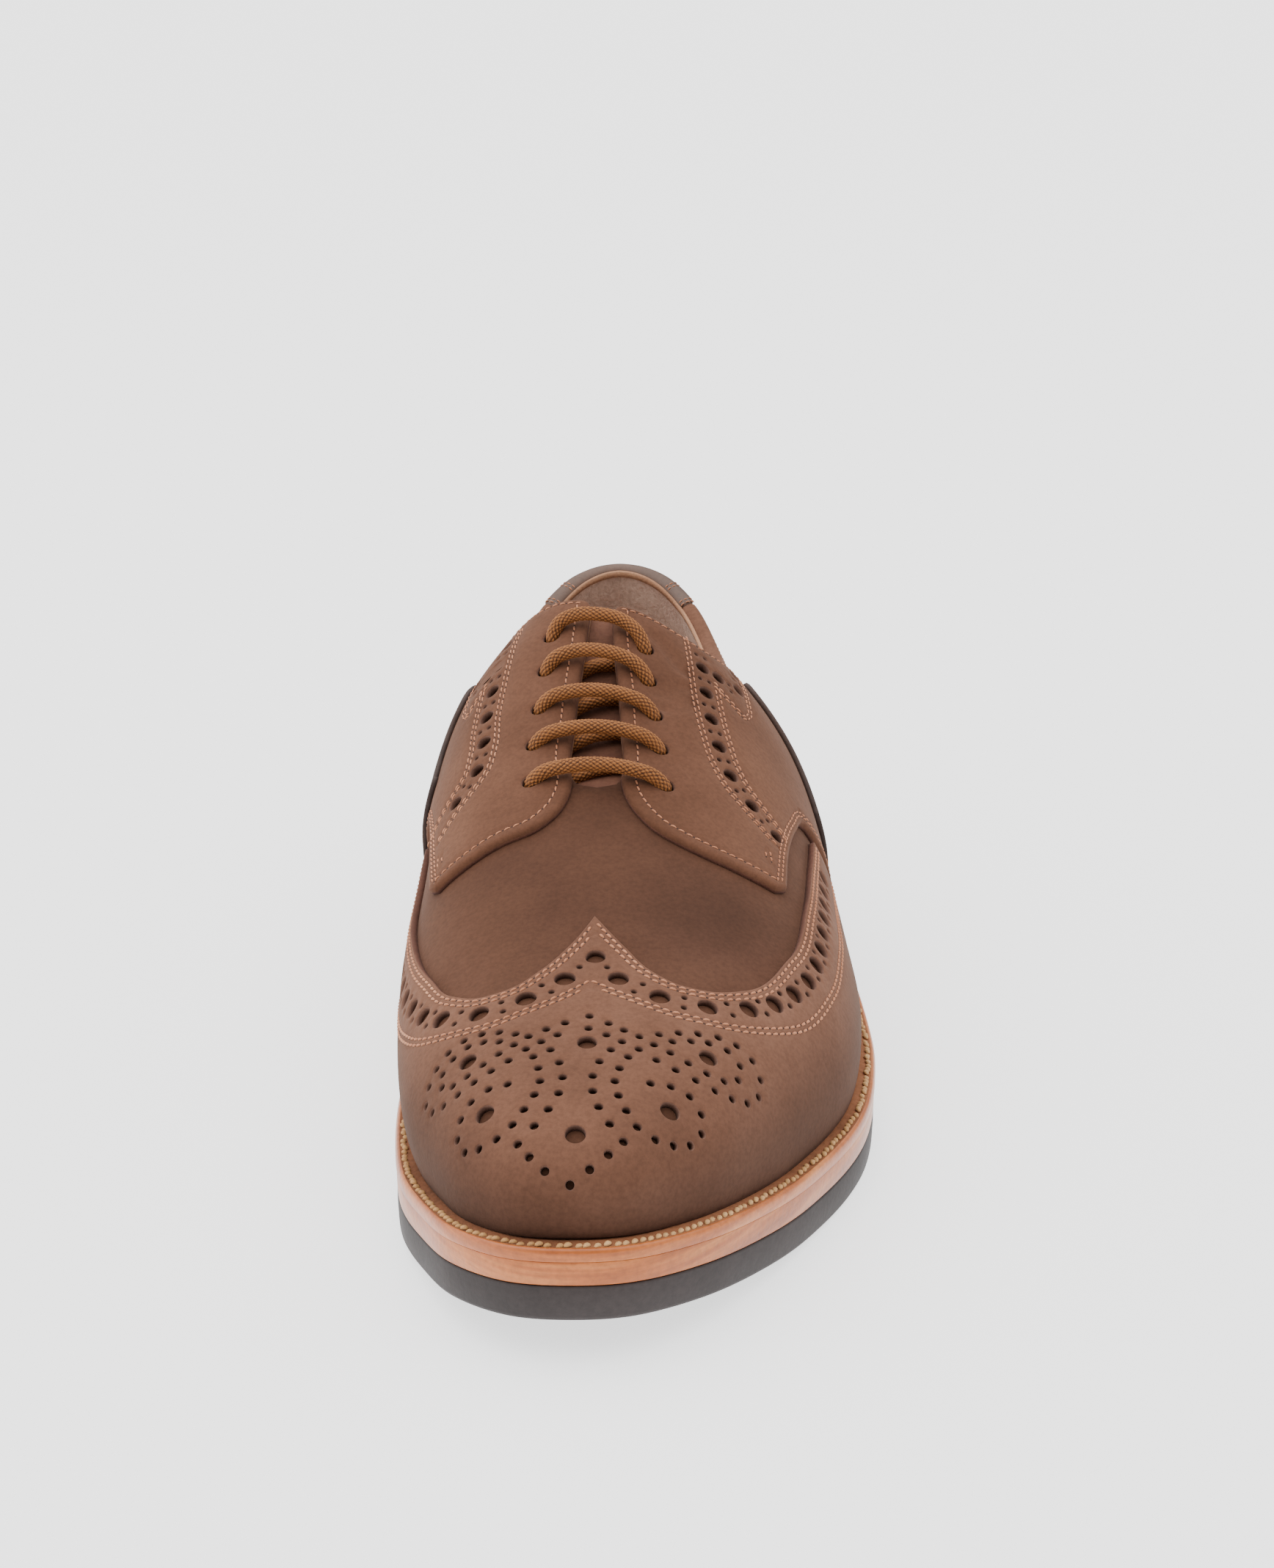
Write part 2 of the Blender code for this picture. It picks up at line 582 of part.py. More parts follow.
def panel_mesh(name, outline, lift):
    """A sheet of leather on the last, cut to a flat outline and lifted off the surface."""
    low = outline.min(axis=0)
    high = outline.max(axis=0)
    along = np.arange(low[0], high[0], PANEL_PITCH)
    up = np.arange(low[1], high[1], PANEL_PITCH)
    grid = np.stack(np.meshgrid(along, up, indexing="ij"), -1).reshape(-1, 2)
    grid = grid[inside(grid, outline)]
    clear = np.linalg.norm(grid[:, None] - outline[None], axis=-1).min(axis=1) > 0.55 * PANEL_PITCH
    points = np.concatenate([outline, grid[clear]])
    loop = [list(range(len(outline)))]
    flat, _, faces, *_ = delaunay_2d_cdt([Vector(point) for point in points], [], loop, 1, 1e-5)
    flat = np.array([tuple(point) for point in flat])
    side = np.where(flat[:, 0] < 0, MEDIAL, LATERAL)
    row = distance_row(np.abs(flat[:, 0]))
    height = np.clip(flat[:, 1] / WALL_SCALE, 0, 1)
    places = np.empty((len(flat), 3))
    for which in SIDES:
        here = side == which
        places[here] = lifted(row[here], height[here], which, np.full(here.sum(), lift))
    bm = bmesh.new()
    verts = [bm.verts.new(Vector(place) * MM) for place in places]
    for face in faces:
        bm.faces.new([verts[i] for i in face])
    bmesh.ops.remove_doubles(bm, verts=bm.verts, dist=0.2 * MM)
    bmesh.ops.recalc_face_normals(bm, faces=bm.faces)
    outward = sum((face.normal.z * face.calc_area() for face in bm.faces))
    if outward < 0:
        bmesh.ops.reverse_faces(bm, faces=bm.faces)
    mesh = bpy.data.meshes.new(name)
    bm.to_mesh(mesh)
    bm.free()
    return mesh


def place_flat(row, height, side):
    return np.array([float(row_distance(row)) * side, height * WALL_SCALE])


def make_wing_cap(group, leather):
    """The wing tip: it covers the toe, peaks on the vamp and runs back along both sides."""
    ridge = np.linspace(0.0, float(row_distance(WING_EDGE[0].medial_row)), 12)[:-1]
    ridge = np.stack([ridge, np.full(len(ridge), WALL_SCALE)], 1)
    halves = {}
    for side in SIDES:
        edge = edge_curve(WING_EDGE, side)
        foot = place_flat(WING_FOOT.lateral_row, WING_FOOT.lateral, side)
        heel_end = straight(edge[-1], foot)
        toe = straight(foot, place_flat(0.0, WING_FOOT.lateral, side))
        halves[side] = np.concatenate([ridge[1:] * (side, 1), edge, heel_end, [foot], toe])
    outline = np.concatenate([ridge[:1], halves[LATERAL], [place_flat(0.0, WING_FOOT.lateral, LATERAL)],
                              halves[MEDIAL][::-1]])
    wing = add_object("wing_cap", panel_mesh("wing_cap", outline, OVERLAY_LIFT), leather, group)
    solidify(wing, OVERLAY_WALL, outward=True)


def top_edge(side, first, last, pitch):
    """Rows and heights along the lacing edge and the top line, from the front row to the heel."""
    rows = np.linspace(first, last, round((last - first) / pitch) + 1)
    return rows, np.array([open_height(row, side) for row in rows])


def make_quarters(group, pins, leather):
    """The two derby quarters: flaps over the vamp that carry the eyelets and run to the heel."""
    for side in SIDES:
        name = "quarter_medial" if side == MEDIAL else "quarter_lateral"
        back = LAST_ROW - QUARTER_BACK_GAP
        rows, heights = top_edge(side, QUARTER_FIRST_ROW, back, 0.025)
        fine = np.stack([row_distance(rows) * side, heights * WALL_SCALE], 1)
        run = np.concatenate([[0.0], np.cumsum(np.linalg.norm(np.diff(fine, axis=0), axis=1))])
        marks = np.linspace(0.0, run[-1], round(run[-1] / (0.6 * PANEL_PITCH)))
        top = np.stack([np.interp(marks, run, fine[:, 0]), np.interp(marks, run, fine[:, 1])], 1)
        heel_foot = place_flat(back, PANEL_FOOT, side)
        heel_top = place_flat(back, float(open_height(back, side)), side)
        notch = edge_curve(NOTCH_EDGE, side)
        outline = np.concatenate([
            edge_curve(FLAP_EDGE, side), notch, straight(notch[-1], heel_foot), [heel_foot],
            straight(heel_foot, heel_top), [heel_top], top[::-1]])
        quarter = add_object(name, panel_mesh(name, outline, OVERLAY_LIFT), leather, group)
        solidify(quarter, OVERLAY_WALL, outward=True)
        cut(quarter, pins[side])


def make_counter(group, leather):
    """The heel counter, one piece round the back over both quarters."""
    grids = []
    bend = COUNTER_EDGE[4].lateral_row
    rows = np.concatenate([np.linspace(COUNTER_EDGE[0].lateral_row, bend, 9)[:-1],
                           np.linspace(bend, LAST_ROW, 12)])
    for side in SIDES:
        name = "medial" if side == MEDIAL else "lateral"
        high = smooth(column(COUNTER_EDGE, name + "_row"), column(COUNTER_EDGE, name), rows)
        low = np.full(len(rows), COUNTER_FOOT)
        grids.append((wall_grid(rows, low, high, side, COUNTER_LIFT, 5), side == LATERAL))
    counter = add_object("counter", grid_mesh("counter", grids), leather, group)
    solidify(counter, COUNTER_WALL, outward=True)


def make_tongue(group, leather):
    """The tongue: sewn under the vamp at the throat, then low enough for the lace to cross above it."""
    rows = np.linspace(TONGUE_FIRST_ROW, TONGUE_LAST_ROW, 10)
    near = -UPPER_WALL - 2.5 * GAP
    deep = -UPPER_WALL - LACE_DIAMETER - 3.5 * LACE_CLEARANCE
    lines = []
    for row in rows:
        ease = float(np.clip((row - TONGUE_DIP_ROW) / TONGUE_DIP_ROWS, 0, 1))
        lift = near + (deep - near) * ease * ease * (3 - 2 * ease)
        line = []
        for side in SIDES:
            ridge = last_surface(row, 1.0, side)
            _, low = find_place(np.array([ridge[0] + side * TONGUE_HALF_WIDTH, ridge[1]]), side)
            heights = np.linspace(low, 0.995, TONGUE_STEPS)
            points = lifted(np.full(TONGUE_STEPS, row), heights, side, np.full(TONGUE_STEPS, lift))
            line.extend(points if side == MEDIAL else points[::-1])
        lines.append(line)
    tongue = add_object("tongue", grid_mesh("tongue", [(lines, False)]), leather, group)
    solidify(tongue, TONGUE_WALL, outward=False)


def make_binding(group, leather):
    """The rolled collar binding, a soft round strip on the top line from one facing to the other."""
    edge = []
    for side in SIDES:
        rows, heights = top_edge(side, BINDING_FIRST_ROW, LAST_ROW, BINDING_PITCH)
        places = lifted(rows, heights, side, np.zeros(len(rows)))
        out = lifted(rows, heights, side, np.ones(len(rows))) - places
        pairs = list(zip(places, out))
        edge.extend(pairs if side == MEDIAL else pairs[::-1][1:])
    points = np.array([pair[0] for pair in edge])
    normals = np.array([pair[1] for pair in edge])
    run = np.gradient(points, axis=0)
    run /= np.linalg.norm(run, axis=1, keepdims=True)
    away = np.cross(normals, run)
    away /= np.linalg.norm(away, axis=1, keepdims=True)
    away *= np.sign(away[:, 2:3])
    rings = []
    turns = np.arange(BINDING_SIDES) * 2 * math.pi / BINDING_SIDES
    for index, (point, out, up) in enumerate(zip(points, normals, away)):
        taper = min(1.0, 0.4 + 0.3 * min(index, len(points) - 1 - index))
        centre = point + up * (taper * BINDING_HEIGHT / 2 + BINDING_LIFT)
        rings.append([centre + taper * (out * math.cos(turn) * BINDING_WIDTH / 2
                                        + up * math.sin(turn) * BINDING_HEIGHT / 2) for turn in turns])
    bm = bmesh.new()
    loops = [[bm.verts.new(Vector(point) * MM) for point in ring] for ring in rings]
    for a, b in zip(loops, loops[1:]):
        for i in range(BINDING_SIDES):
            j = (i + 1) % BINDING_SIDES
            bm.faces.new((a[i], a[j], b[j], b[i]))
    bm.faces.new(loops[0])
    bm.faces.new(loops[-1])
    bmesh.ops.recalc_face_normals(bm, faces=bm.faces)
    mesh = bpy.data.meshes.new("collar_binding")
    bm.to_mesh(mesh)
    bm.free()
    add_object("collar_binding", mesh, leather, group)


def over_instep(start, end, share, lift):
    """A point part of the way between two eyelets, at a lift from the last's surface."""
    plan = start + (end - start) * share
    ridge_x = float(smooth(column(SECTIONS, "top_y"), column(SECTIONS, "top_x"), plan[1]))
    side = MEDIAL if plan[0] < ridge_x else LATERAL
    row, height = find_place(plan, side)
    return lifted(row, height, side, lift)


def lace_route(places):
    """Bars from the lateral to the medial eyelets, and diagonals under the facings up to the next."""
    above = OVERLAY_LIFT + OVERLAY_WALL + LACE_CLEARANCE + LACE_DIAMETER / 2
    below = -UPPER_WALL - LACE_CLEARANCE - LACE_DIAMETER / 2
    plan = [{side: last_surface(*pair[side], side)[:2] for side in SIDES} for pair in places]
    first, last = LACE_BENDS[0], LACE_BENDS[-1]
    route = [over_instep(plan[0][LATERAL], plan[0][MEDIAL], first.along, below - LACE_TAIL)]
    for index, pair in enumerate(plan):
        start, end = pair[LATERAL], pair[MEDIAL]
        route.append(over_instep(start, end, 0.0, 0.0))
        route.extend(over_instep(start, end, bend.along, bend.lift * above) for bend in LACE_BENDS)
        route.append(over_instep(start, end, 1.0, 0.0))
        if index + 1 < len(plan):
            start, end = end, plan[index + 1][LATERAL]
            route.extend(over_instep(start, end, bend.along, bend.lift * below) for bend in LACE_BENDS)
    route.append(over_instep(plan[-1][LATERAL], plan[-1][MEDIAL], last.along, below - LACE_TAIL))
    return route


def make_lace(group, places):
    """One round lace, laced straight across the front, with its ends just inside the eyelets."""
    points = np.array(lace_route(places))
    knots = np.concatenate([[0.0], np.cumsum(np.linalg.norm(np.diff(points, axis=0), axis=1))])
    dense = smooth(knots, points, np.linspace(0.0, knots[-1], round(knots[-1] / LACE_PITCH)))
    curve = bpy.data.curves.new("lace", "CURVE")
    curve.dimensions = "3D"
    curve.bevel_depth = LACE_DIAMETER / 2 * MM
    curve.bevel_resolution = 2
    curve.use_fill_caps = True
    spline = curve.splines.new("POLY")
    spline.points.add(len(dense) - 1)
    for point, place in zip(spline.points, dense):
        point.co = (*(Vector(place) * MM), 1.0)
    curve.materials.append(material("golden_brown_lace", (0.36, 0.20, 0.08), 0.7))
    group.objects.link(bpy.data.objects.new("lace", curve))


def build():
    for piece in list(bpy.data.objects):
        bpy.data.objects.remove(piece, do_unlink=True)
    group = bpy.data.collections.new("full_brogue_derby")
    cutters = bpy.data.collections.new("cutters")
    for collection in (group, cutters):
        bpy.context.scene.collection.children.link(collection)
    leather = material("brown_nubuck", (0.22, 0.12, 0.075), 0.85)
    make_sole(group, cutters)
    make_insole(group)
    places = eyelet_places()
    pins = make_eyelet_cutters(cutters, places)
    make_upper(group, pins, leather)
    make_wing_cap(group, leather)
    make_quarters(group, pins, leather)
    make_counter(group, leather)
    make_tongue(group, leather)
    make_binding(group, leather)
    make_lace(group, places)
    for piece in [*group.objects, *cutters.objects]:
        piece.location = (-CENTRE_X * MM, -CENTRE_Y * MM, 0.0)
    for cutter in cutters.objects:
        cutter.hide_render = True
        cutter.display_type = "WIRE"


build()
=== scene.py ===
"""Full brogue derby, one left shoe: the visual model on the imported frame.

The last repeats the part's own source: millimetres in its drawing frame, moved by CENTRE to the
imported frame. The toe points to -Y and the lateral (little toe) side is +X.
"""
from collections import namedtuple
import math

import bpy
import numpy as np
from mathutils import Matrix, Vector
from mathutils.geometry import delaunay_2d_cdt
from mathutils.kdtree import KDTree


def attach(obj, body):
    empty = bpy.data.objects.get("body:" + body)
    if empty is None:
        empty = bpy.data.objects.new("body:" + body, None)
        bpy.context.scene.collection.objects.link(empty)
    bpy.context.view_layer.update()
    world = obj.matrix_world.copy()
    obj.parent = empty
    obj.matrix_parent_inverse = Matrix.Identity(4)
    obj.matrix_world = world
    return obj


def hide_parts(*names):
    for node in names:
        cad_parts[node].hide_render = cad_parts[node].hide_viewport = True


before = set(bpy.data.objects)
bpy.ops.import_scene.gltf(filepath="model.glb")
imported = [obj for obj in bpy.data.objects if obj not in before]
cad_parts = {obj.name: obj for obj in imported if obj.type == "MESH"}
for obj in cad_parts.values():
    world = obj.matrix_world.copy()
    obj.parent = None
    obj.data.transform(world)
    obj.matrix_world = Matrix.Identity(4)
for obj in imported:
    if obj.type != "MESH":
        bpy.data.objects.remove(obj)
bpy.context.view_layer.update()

MM = 0.001
CENTRE = np.array([-0.8, 2.3, 0.0])
GAP = 0.35
WELT_THICKNESS = 4.2
MIDSOLE_THICKNESS = 5.6
OUTSOLE_THICKNESS = 8.0
LAYER_GAP = 0.3
SOLE_PACK = WELT_THICKNESS + MIDSOLE_THICKNESS + OUTSOLE_THICKNESS + 2 * LAYER_GAP
TOP_PIECE_THICKNESS = 6.0
HEEL_BREAST = 9.75
MEDIAL = -1
LATERAL = 1
SIDES = (MEDIAL, LATERAL)
SIDE_NAMES = {MEDIAL: "medial", LATERAL: "lateral"}
TINY = 1e-9
WALL_SCALE = 75.0
GIRTH_HEIGHT = 0.4

# One row per section of the last, from the toe tip round one side to the back of the heel.
# y, medial, lateral: edge of the sole. top_*: the ridge of the instep, then the cone over the
# ankle. The bulge and crown columns are the two handles of the wall's curve, in millimetres.
Section = namedtuple("Section", "y medial lateral top_y top_x top_half top_z "
                     "bulge_medial bulge_lateral bulge_up crown_medial crown_lateral crown_drop")
SECTIONS = (
    Section(-149.0, -15.0, -15.0, -90.0, -12.0, 0.0, 56.0, 3.0, 3.0, 17.0, 36.0, 36.0, 0.0),
    Section(-146.0, -29.0, -1.0, -89.0, -12.0, 0.0, 56.2, 4.0, 3.5, 17.0, 35.0, 36.0, 0.0),
    Section(-134.5, -41.0, 13.5, -86.0, -12.0, 0.0, 56.8, 5.0, 4.0, 18.0, 33.0, 36.0, 0.0),
    Section(-119.0, -48.5, 26.0, -80.0, -11.8, 0.0, 58.0, 7.0, 4.5, 19.0, 32.0, 37.0, 0.0),
    Section(-99.0, -55.0, 38.5, -70.0, -11.5, 0.0, 60.2, 9.0, 5.0, 21.0, 32.0, 38.0, 0.0),
    Section(-70.0, -58.0, 52.0, -52.0, -11.2, 0.0, 65.0, 12.0, 5.0, 24.0, 34.0, 40.0, 0.0),
    Section(-40.0, -57.5, 57.0, -30.0, -11.2, 0.0, 72.0, 15.0, 4.0, 27.0, 36.0, 38.0, 0.0),
    Section(-10.0, -53.5, 56.5, -6.0, -11.5, 0.0, 81.0, 19.0, 3.0, 29.0, 37.0, 36.0, 0.0),
    Section(20.0, -48.0, 52.5, 18.0, -11.3, 0.0, 91.5, 25.0, 6.0, 30.0, 37.0, 35.0, 0.0),
    Section(50.0, -43.0, 46.0, 42.0, -11.0, 1.0, 102.5, 24.0, 10.0, 30.0, 33.0, 30.0, 2.0),
    Section(80.0, -42.0, 38.5, 66.0, -9.5, 7.0, 112.0, 12.0, 6.0, 28.0, 15.0, 11.0, 12.0),
    Section(105.0, -42.0, 32.0, 92.0, -7.5, 15.0, 113.0, 6.0, 5.0, 24.0, 6.0, 6.0, 26.0),
    Section(127.0, -39.0, 26.5, 116.0, -6.8, 14.5, 113.5, 4.0, 4.0, 22.0, 4.0, 4.0, 30.0),
    Section(144.5, -28.0, 15.0, 133.0, -6.5, 9.0, 114.0, 4.0, 4.0, 20.0, 2.0, 2.0, 30.0),
    Section(152.0, -6.5, -6.5, 139.0, -6.5, 0.0, 114.0, 5.0, 5.0, 20.0, 2.0, 2.0, 30.0),
)
LAST_ROW = len(SECTIONS) - 1
FAN_ROW = 5.0
ANKLE_ROW = 9.5
ANKLE_ROWS = 2.0
TOE_SLOPE_ROW = 0.06
TOE_POLE_ROWS = 0.6
TOE_POLE_HEIGHT = 0.97

# Height of the welt's top along the shoe: toe spring, flat ball, arch and heel seat
WeltPoint = namedtuple("WeltPoint", "y z inset")
WELT = (
    WeltPoint(-152.0, 29.4, 6.0),
    WeltPoint(-130.0, 24.6, 6.0),
    WeltPoint(-110.0, 21.0, 6.0),
    WeltPoint(-90.0, 18.9, 6.0),
    WeltPoint(-66.0, SOLE_PACK, 6.0),
    WeltPoint(-45.0, SOLE_PACK, 5.8),
    WeltPoint(-24.0, SOLE_PACK, 5.5),
    WeltPoint(20.0, 23.0, 5.0),
    WeltPoint(50.0, 28.5, 4.2),
    WeltPoint(80.0, 32.5, 3.5),
    WeltPoint(110.0, 34.5, 3.5),
    WeltPoint(155.0, 35.5, 3.5),
)

Throat = namedtuple("Throat", "y half")
THROAT = (
    Throat(-13.0, 0.0),
    Throat(-12.0, 3.6),
    Throat(-9.5, 5.8),
    Throat(-4.0, 6.5),
    Throat(6.0, 5.8),
    Throat(20.0, 5.0),
    Throat(32.0, 3.8),
    Throat(47.0, 2.9),
    Throat(60.0, 2.5),
)

# Overlay outlines on the last: row along the shoe and height up the wall, on each side
EdgePoint = namedtuple("EdgePoint", "medial_row medial lateral_row lateral")


def both(row, height):
    """A point that lies alike on both sides."""
    return EdgePoint(row, height, row, height)


WING_EDGE = (
    both(4.57, 1.00),
    EdgePoint(4.05, 0.94, 4.05, 0.93),
    EdgePoint(3.70, 0.86, 3.72, 0.86),
    EdgePoint(3.62, 0.78, 3.70, 0.79),
    EdgePoint(3.80, 0.69, 3.85, 0.72),
    EdgePoint(4.25, 0.58, 4.25, 0.61),
    EdgePoint(4.80, 0.50, 5.00, 0.52),
    EdgePoint(6.02, 0.385, 6.20, 0.45),
    EdgePoint(7.72, 0.32, 7.70, 0.345),
)
WING_FOOT_ROW = 7.85
FLAP_EDGE = (
    both(6.80, 0.945),
    both(6.55, 0.935),
    EdgePoint(6.32, 0.907, 6.30, 0.907),
    EdgePoint(6.14, 0.85, 6.10, 0.865),
    EdgePoint(6.10, 0.76, 5.94, 0.77),
    EdgePoint(6.06, 0.65, 5.92, 0.66),
    EdgePoint(6.08, 0.53, 5.97, 0.56),
)
NOTCH_EDGE = (
    EdgePoint(6.20, 0.495, 6.10, 0.525),
    EdgePoint(6.90, 0.465, 6.90, 0.485),
    EdgePoint(7.40, 0.435, 7.40, 0.440),
    both(7.72, 0.395),
    both(7.85, 0.32),
    both(7.95, 0.02),
)


def column(table, name):
    """One named column of a table as an array."""
    return np.array([getattr(row, name) for row in table], float)


def sided(table, side):
    """Rows and heights of a line's table on one side of the shoe."""
    return column(table, SIDE_NAMES[side] + "_row"), column(table, SIDE_NAMES[side])


def unit(vectors):
    """Vectors scaled to a length of one."""
    return vectors / np.maximum(np.linalg.norm(vectors, axis=-1, keepdims=True), TINY)


def travel(points):
    """Way along a line of points, from nought at its first."""
    return np.concatenate([[0.0], np.cumsum(np.linalg.norm(np.diff(points, axis=0), axis=1))])


def around(count, first, second):
    """Ways round a ring, one ring for each pair of its half axes."""
    turns = np.arange(count)[None, :, None] * 2 * math.pi / count
    return np.cos(turns) * first[:, None] + np.sin(turns) * second[:, None]


def soft_ends(count, taper, least):
    """Share of the full width along a strip that is rounded off at both ends."""
    ends = np.minimum(np.arange(count), np.arange(count)[::-1]) / taper
    return np.sqrt(np.clip(1 - (1 - np.clip(ends, 0, 1))**2, least, 1))[:, None]


def smooth(knots, values, at):
    """Smooth cubic through the values at the knots, in as many dimensions as they have."""
    knots = np.asarray(knots, float)
    values = np.asarray(values, float)
    at = np.asarray(at, float)
    width = np.diff(knots)
    shape = (-1,) + (1,) * (values.ndim - 1)
    slope = np.diff(values, axis=0) / width.reshape(shape)
    before = width[:-1].reshape(shape)
    after = width[1:].reshape(shape)
    tangent = np.empty_like(values)
    tangent[1:-1] = (slope[:-1] * after + slope[1:] * before) / (before + after)
    tangent[0] = 1.5 * slope[0] - 0.5 * tangent[1]
    tangent[-1] = 1.5 * slope[-1] - 0.5 * tangent[-2]
    i = np.clip(np.searchsorted(knots, at, side="right") - 1, 0, len(knots) - 2)
    t = ((at - knots[i]) / width[i]).reshape(at.shape + (1,) * (values.ndim - 1))
    span = width[i].reshape(t.shape)
    return ((2 * t**3 - 3 * t**2 + 1) * values[i] + (t**3 - 2 * t**2 + t) * span * tangent[i]
            + (3 * t**2 - 2 * t**3) * values[i + 1] + (t**3 - t**2) * span * tangent[i + 1])


def both_ways(near, far, flip=False):
    """A column carried two rows past the toe and the heel, where the other side begins."""
    here = column(SECTIONS, near)
    there = -column(SECTIONS, far) if flip else column(SECTIONS, far)
    return np.concatenate([there[2:0:-1], here, there[-2:-4:-1]])


def section_table(side):
    """Columns x, y, top x, top y, top z, bulge, bulge up, crown, crown drop for one side."""
    name, other = SIDE_NAMES[side], SIDE_NAMES[-side]
    top_x = both_ways("top_x", "top_x") + side * both_ways("top_half", "top_half", flip=True)
    return np.stack([
        both_ways(name, other),
        both_ways("y", "y"),
        top_x,
        both_ways("top_y", "top_y"),
        both_ways("top_z", "top_z"),
        both_ways("bulge_" + name, "bulge_" + other),
        both_ways("bulge_up", "bulge_up"),
        both_ways("crown_" + name, "crown_" + other),
        both_ways("crown_drop", "crown_drop"),
    ], axis=1)


TABLES = {side: section_table(side) for side in SIDES}
KNOTS = np.arange(-2, LAST_ROW + 3)


def station(row, side):
    return smooth(KNOTS, TABLES[side], row)


def welt_top(y):
    """Height of the welt's top: never lower than the sole pack that stands on the floor."""
    return np.maximum(SOLE_PACK, smooth(column(WELT, "y"), column(WELT, "z"), y))


def sole_edge(row, side, inset=0.0):
    """Point of the sole's outline, moved in by the inset, its outward normal in plan and its station."""
    row = np.asarray(row, float)
    step = 1e-3
    here = station(row, side)
    run = unit((station(row + step, side) - station(row - step, side))[..., :2])
    normal = np.stack([run[..., 1], -run[..., 0]], -1) * side
    inset = np.broadcast_to(np.asarray(inset, float), row.shape)
    return here[..., :2] - normal * inset[..., None], normal, here


def ridge_slope(row):
    """Rise of the ridge for each step along the shoe."""
    step = 0.01
    row = np.clip(row, TOE_SLOPE_ROW, LAST_ROW)
    rows = np.arange(LAST_ROW + 1)
    ridge_line = np.stack([column(SECTIONS, "top_y"), column(SECTIONS, "top_z")], 1)
    ahead = smooth(rows, ridge_line, np.minimum(row + step, LAST_ROW))
    change = ahead - smooth(rows, ridge_line, row - step)
    return change[..., 1] / np.maximum(change[..., 0], 1e-6)


def last_surface(row, height, side):
    """The last: a curved wall line from the welt (height 0) to the ridge or cone (height 1)."""
    row, height = np.broadcast_arrays(np.asarray(row, float), np.asarray(height, float))
    inset = smooth(column(WELT, "y"), column(WELT, "inset"), station(row, side)[..., 1])
    foot_xy, normal, here = sole_edge(row, side, inset)
    foot = np.concatenate([foot_xy, welt_top(here[..., 1])[..., None] + GAP], -1)
    top = here[..., 2:5]
    bulge = foot + np.concatenate([normal * here[..., 5:6], here[..., 6:7]], -1)
    turn = np.clip(row / FAN_ROW, 0, 1) * math.pi / 2
    across = np.stack([side * np.sin(turn), -np.cos(turn)], -1)
    blend = np.clip((row - ANKLE_ROW) / ANKLE_ROWS, 0, 1)
    blend = (blend * blend * (3 - 2 * blend))[..., None]
    aim = across * (1 - blend) + normal * blend
    fall = aim[..., 1] * here[..., 7] * ridge_slope(row) * (1 - blend[..., 0]) - here[..., 8]
    crown = top + np.concatenate([aim * here[..., 7:8], fall[..., None]], -1)
    h = height[..., None]
    return (1 - h)**3 * foot + 3 * (1 - h)**2 * h * bulge + 3 * (1 - h) * h**2 * crown + h**3 * top


def lifted(row, height, side, lift):
    """The last's surface moved out along its own normal."""
    row, height = np.broadcast_arrays(np.asarray(row, float), np.asarray(height, float))
    step = 2e-3
    below_pole = np.where(row < TOE_POLE_ROWS, np.minimum(height, TOE_POLE_HEIGHT), height)
    low = below_pole - step
    high = np.minimum(below_pole + step, 1)
    along = last_surface(row + step, below_pole, side) - last_surface(row - step, below_pole, side)
    up = last_surface(row, high, side) - last_surface(row, low, side)
    normal = unit(np.cross(up, along) * -side)
    return last_surface(row, height, side) + normal * np.asarray(lift, float)[..., None]


# Leather over the last, in millimetres: lifts from its surface, then edges and holes
UPPER_WALL = 2.0
LINING_TRIM = 0.2
OVERLAY_BASE = 0.05
WING_TOP = 1.75
QUARTER_TOP = 2.15
COUNTER_TOP = 3.6
CUT_EDGE = 0.35
ROLLED_EDGE = 1.25
HOLE_FLARE = 0.3
HOLE_MARGIN = 0.2
HOLE_SIDES = 22
HOLE_TURN_OUT = 0.1
HOLE_TURN_DROP = 0.12
HOLE_WALL_DROP = 0.45
HOLE_TAPER = 0.97
# The edge's shoulder lies this share of the edge in and down; edges below the limit show the cut
SHOULDER = 0.3
CUT_LIMIT = 0.6
# Points of a panel's face: pitch of its grid and how far the points keep from lines and holes
PANEL_PITCH = 1.9
UPPER_PITCH = 2.2
TRIANGLE_HEIGHT = 0.87
LINE_CLEARANCE = 0.3
GRID_CLEARANCE = 0.5
MERGE_DISTANCE = 1e-5
CURVE_PITCH = 1.3
EDGE_PITCH = 1.2
HOLE_LINE_PITCH = 0.3
BESIDE_STEP = 1.5
FOOT_PITCH = 2.0
DOUBLED = 0.05
HALVINGS = 34
# The facing's height is found in rounds from a first guess, by how far a row's line spreads
FACING_SPREAD = 108.0
FACING_GUESS = 0.97
FACING_LOWEST = 0.85
FACING_ROUNDS = 12
CORNER_ROUNDS = 3
# Rows and heights on the last
UPPER_FOOT = -0.025
QUARTER_FIRST_ROW = 6.9
FACING_CORNER_ROWS = 0.06

# Holes and thread
BIG_HOLE = 2.35
SMALL_HOLE = 0.68
MEDALLION_HOLE = 0.9
STAY_HOLE = 2.1
EYELET_HOLE = 2.2
EYELET_ROOM = 0.2
WING_PEAK_HOLE = (-11.2, -75.4)
FRONT_PITCH = 10.8
FRONT_HOLES = 3
SIDE_PITCH = 8.7
SIDE_HOLES = 12
BAND_MOST = 24
BAND_END = 2.0
WING_PAIR = 1.8
STAY_PAIR = 1.4
MEDALLION_SHRINK = 0.9
STAY_PITCH = 10.2
COLLAR_PITCH = 8.8
STAY_START = {MEDIAL: 6.3, LATERAL: 2.5}
COLLAR_START = 2.5
STITCH_PITCH = 2.25
STITCH_LENGTH = 1.78
STITCH_WIDTH = 0.47
STITCH_SLANT = 0.12
NEEDLE_HOLE = 0.3
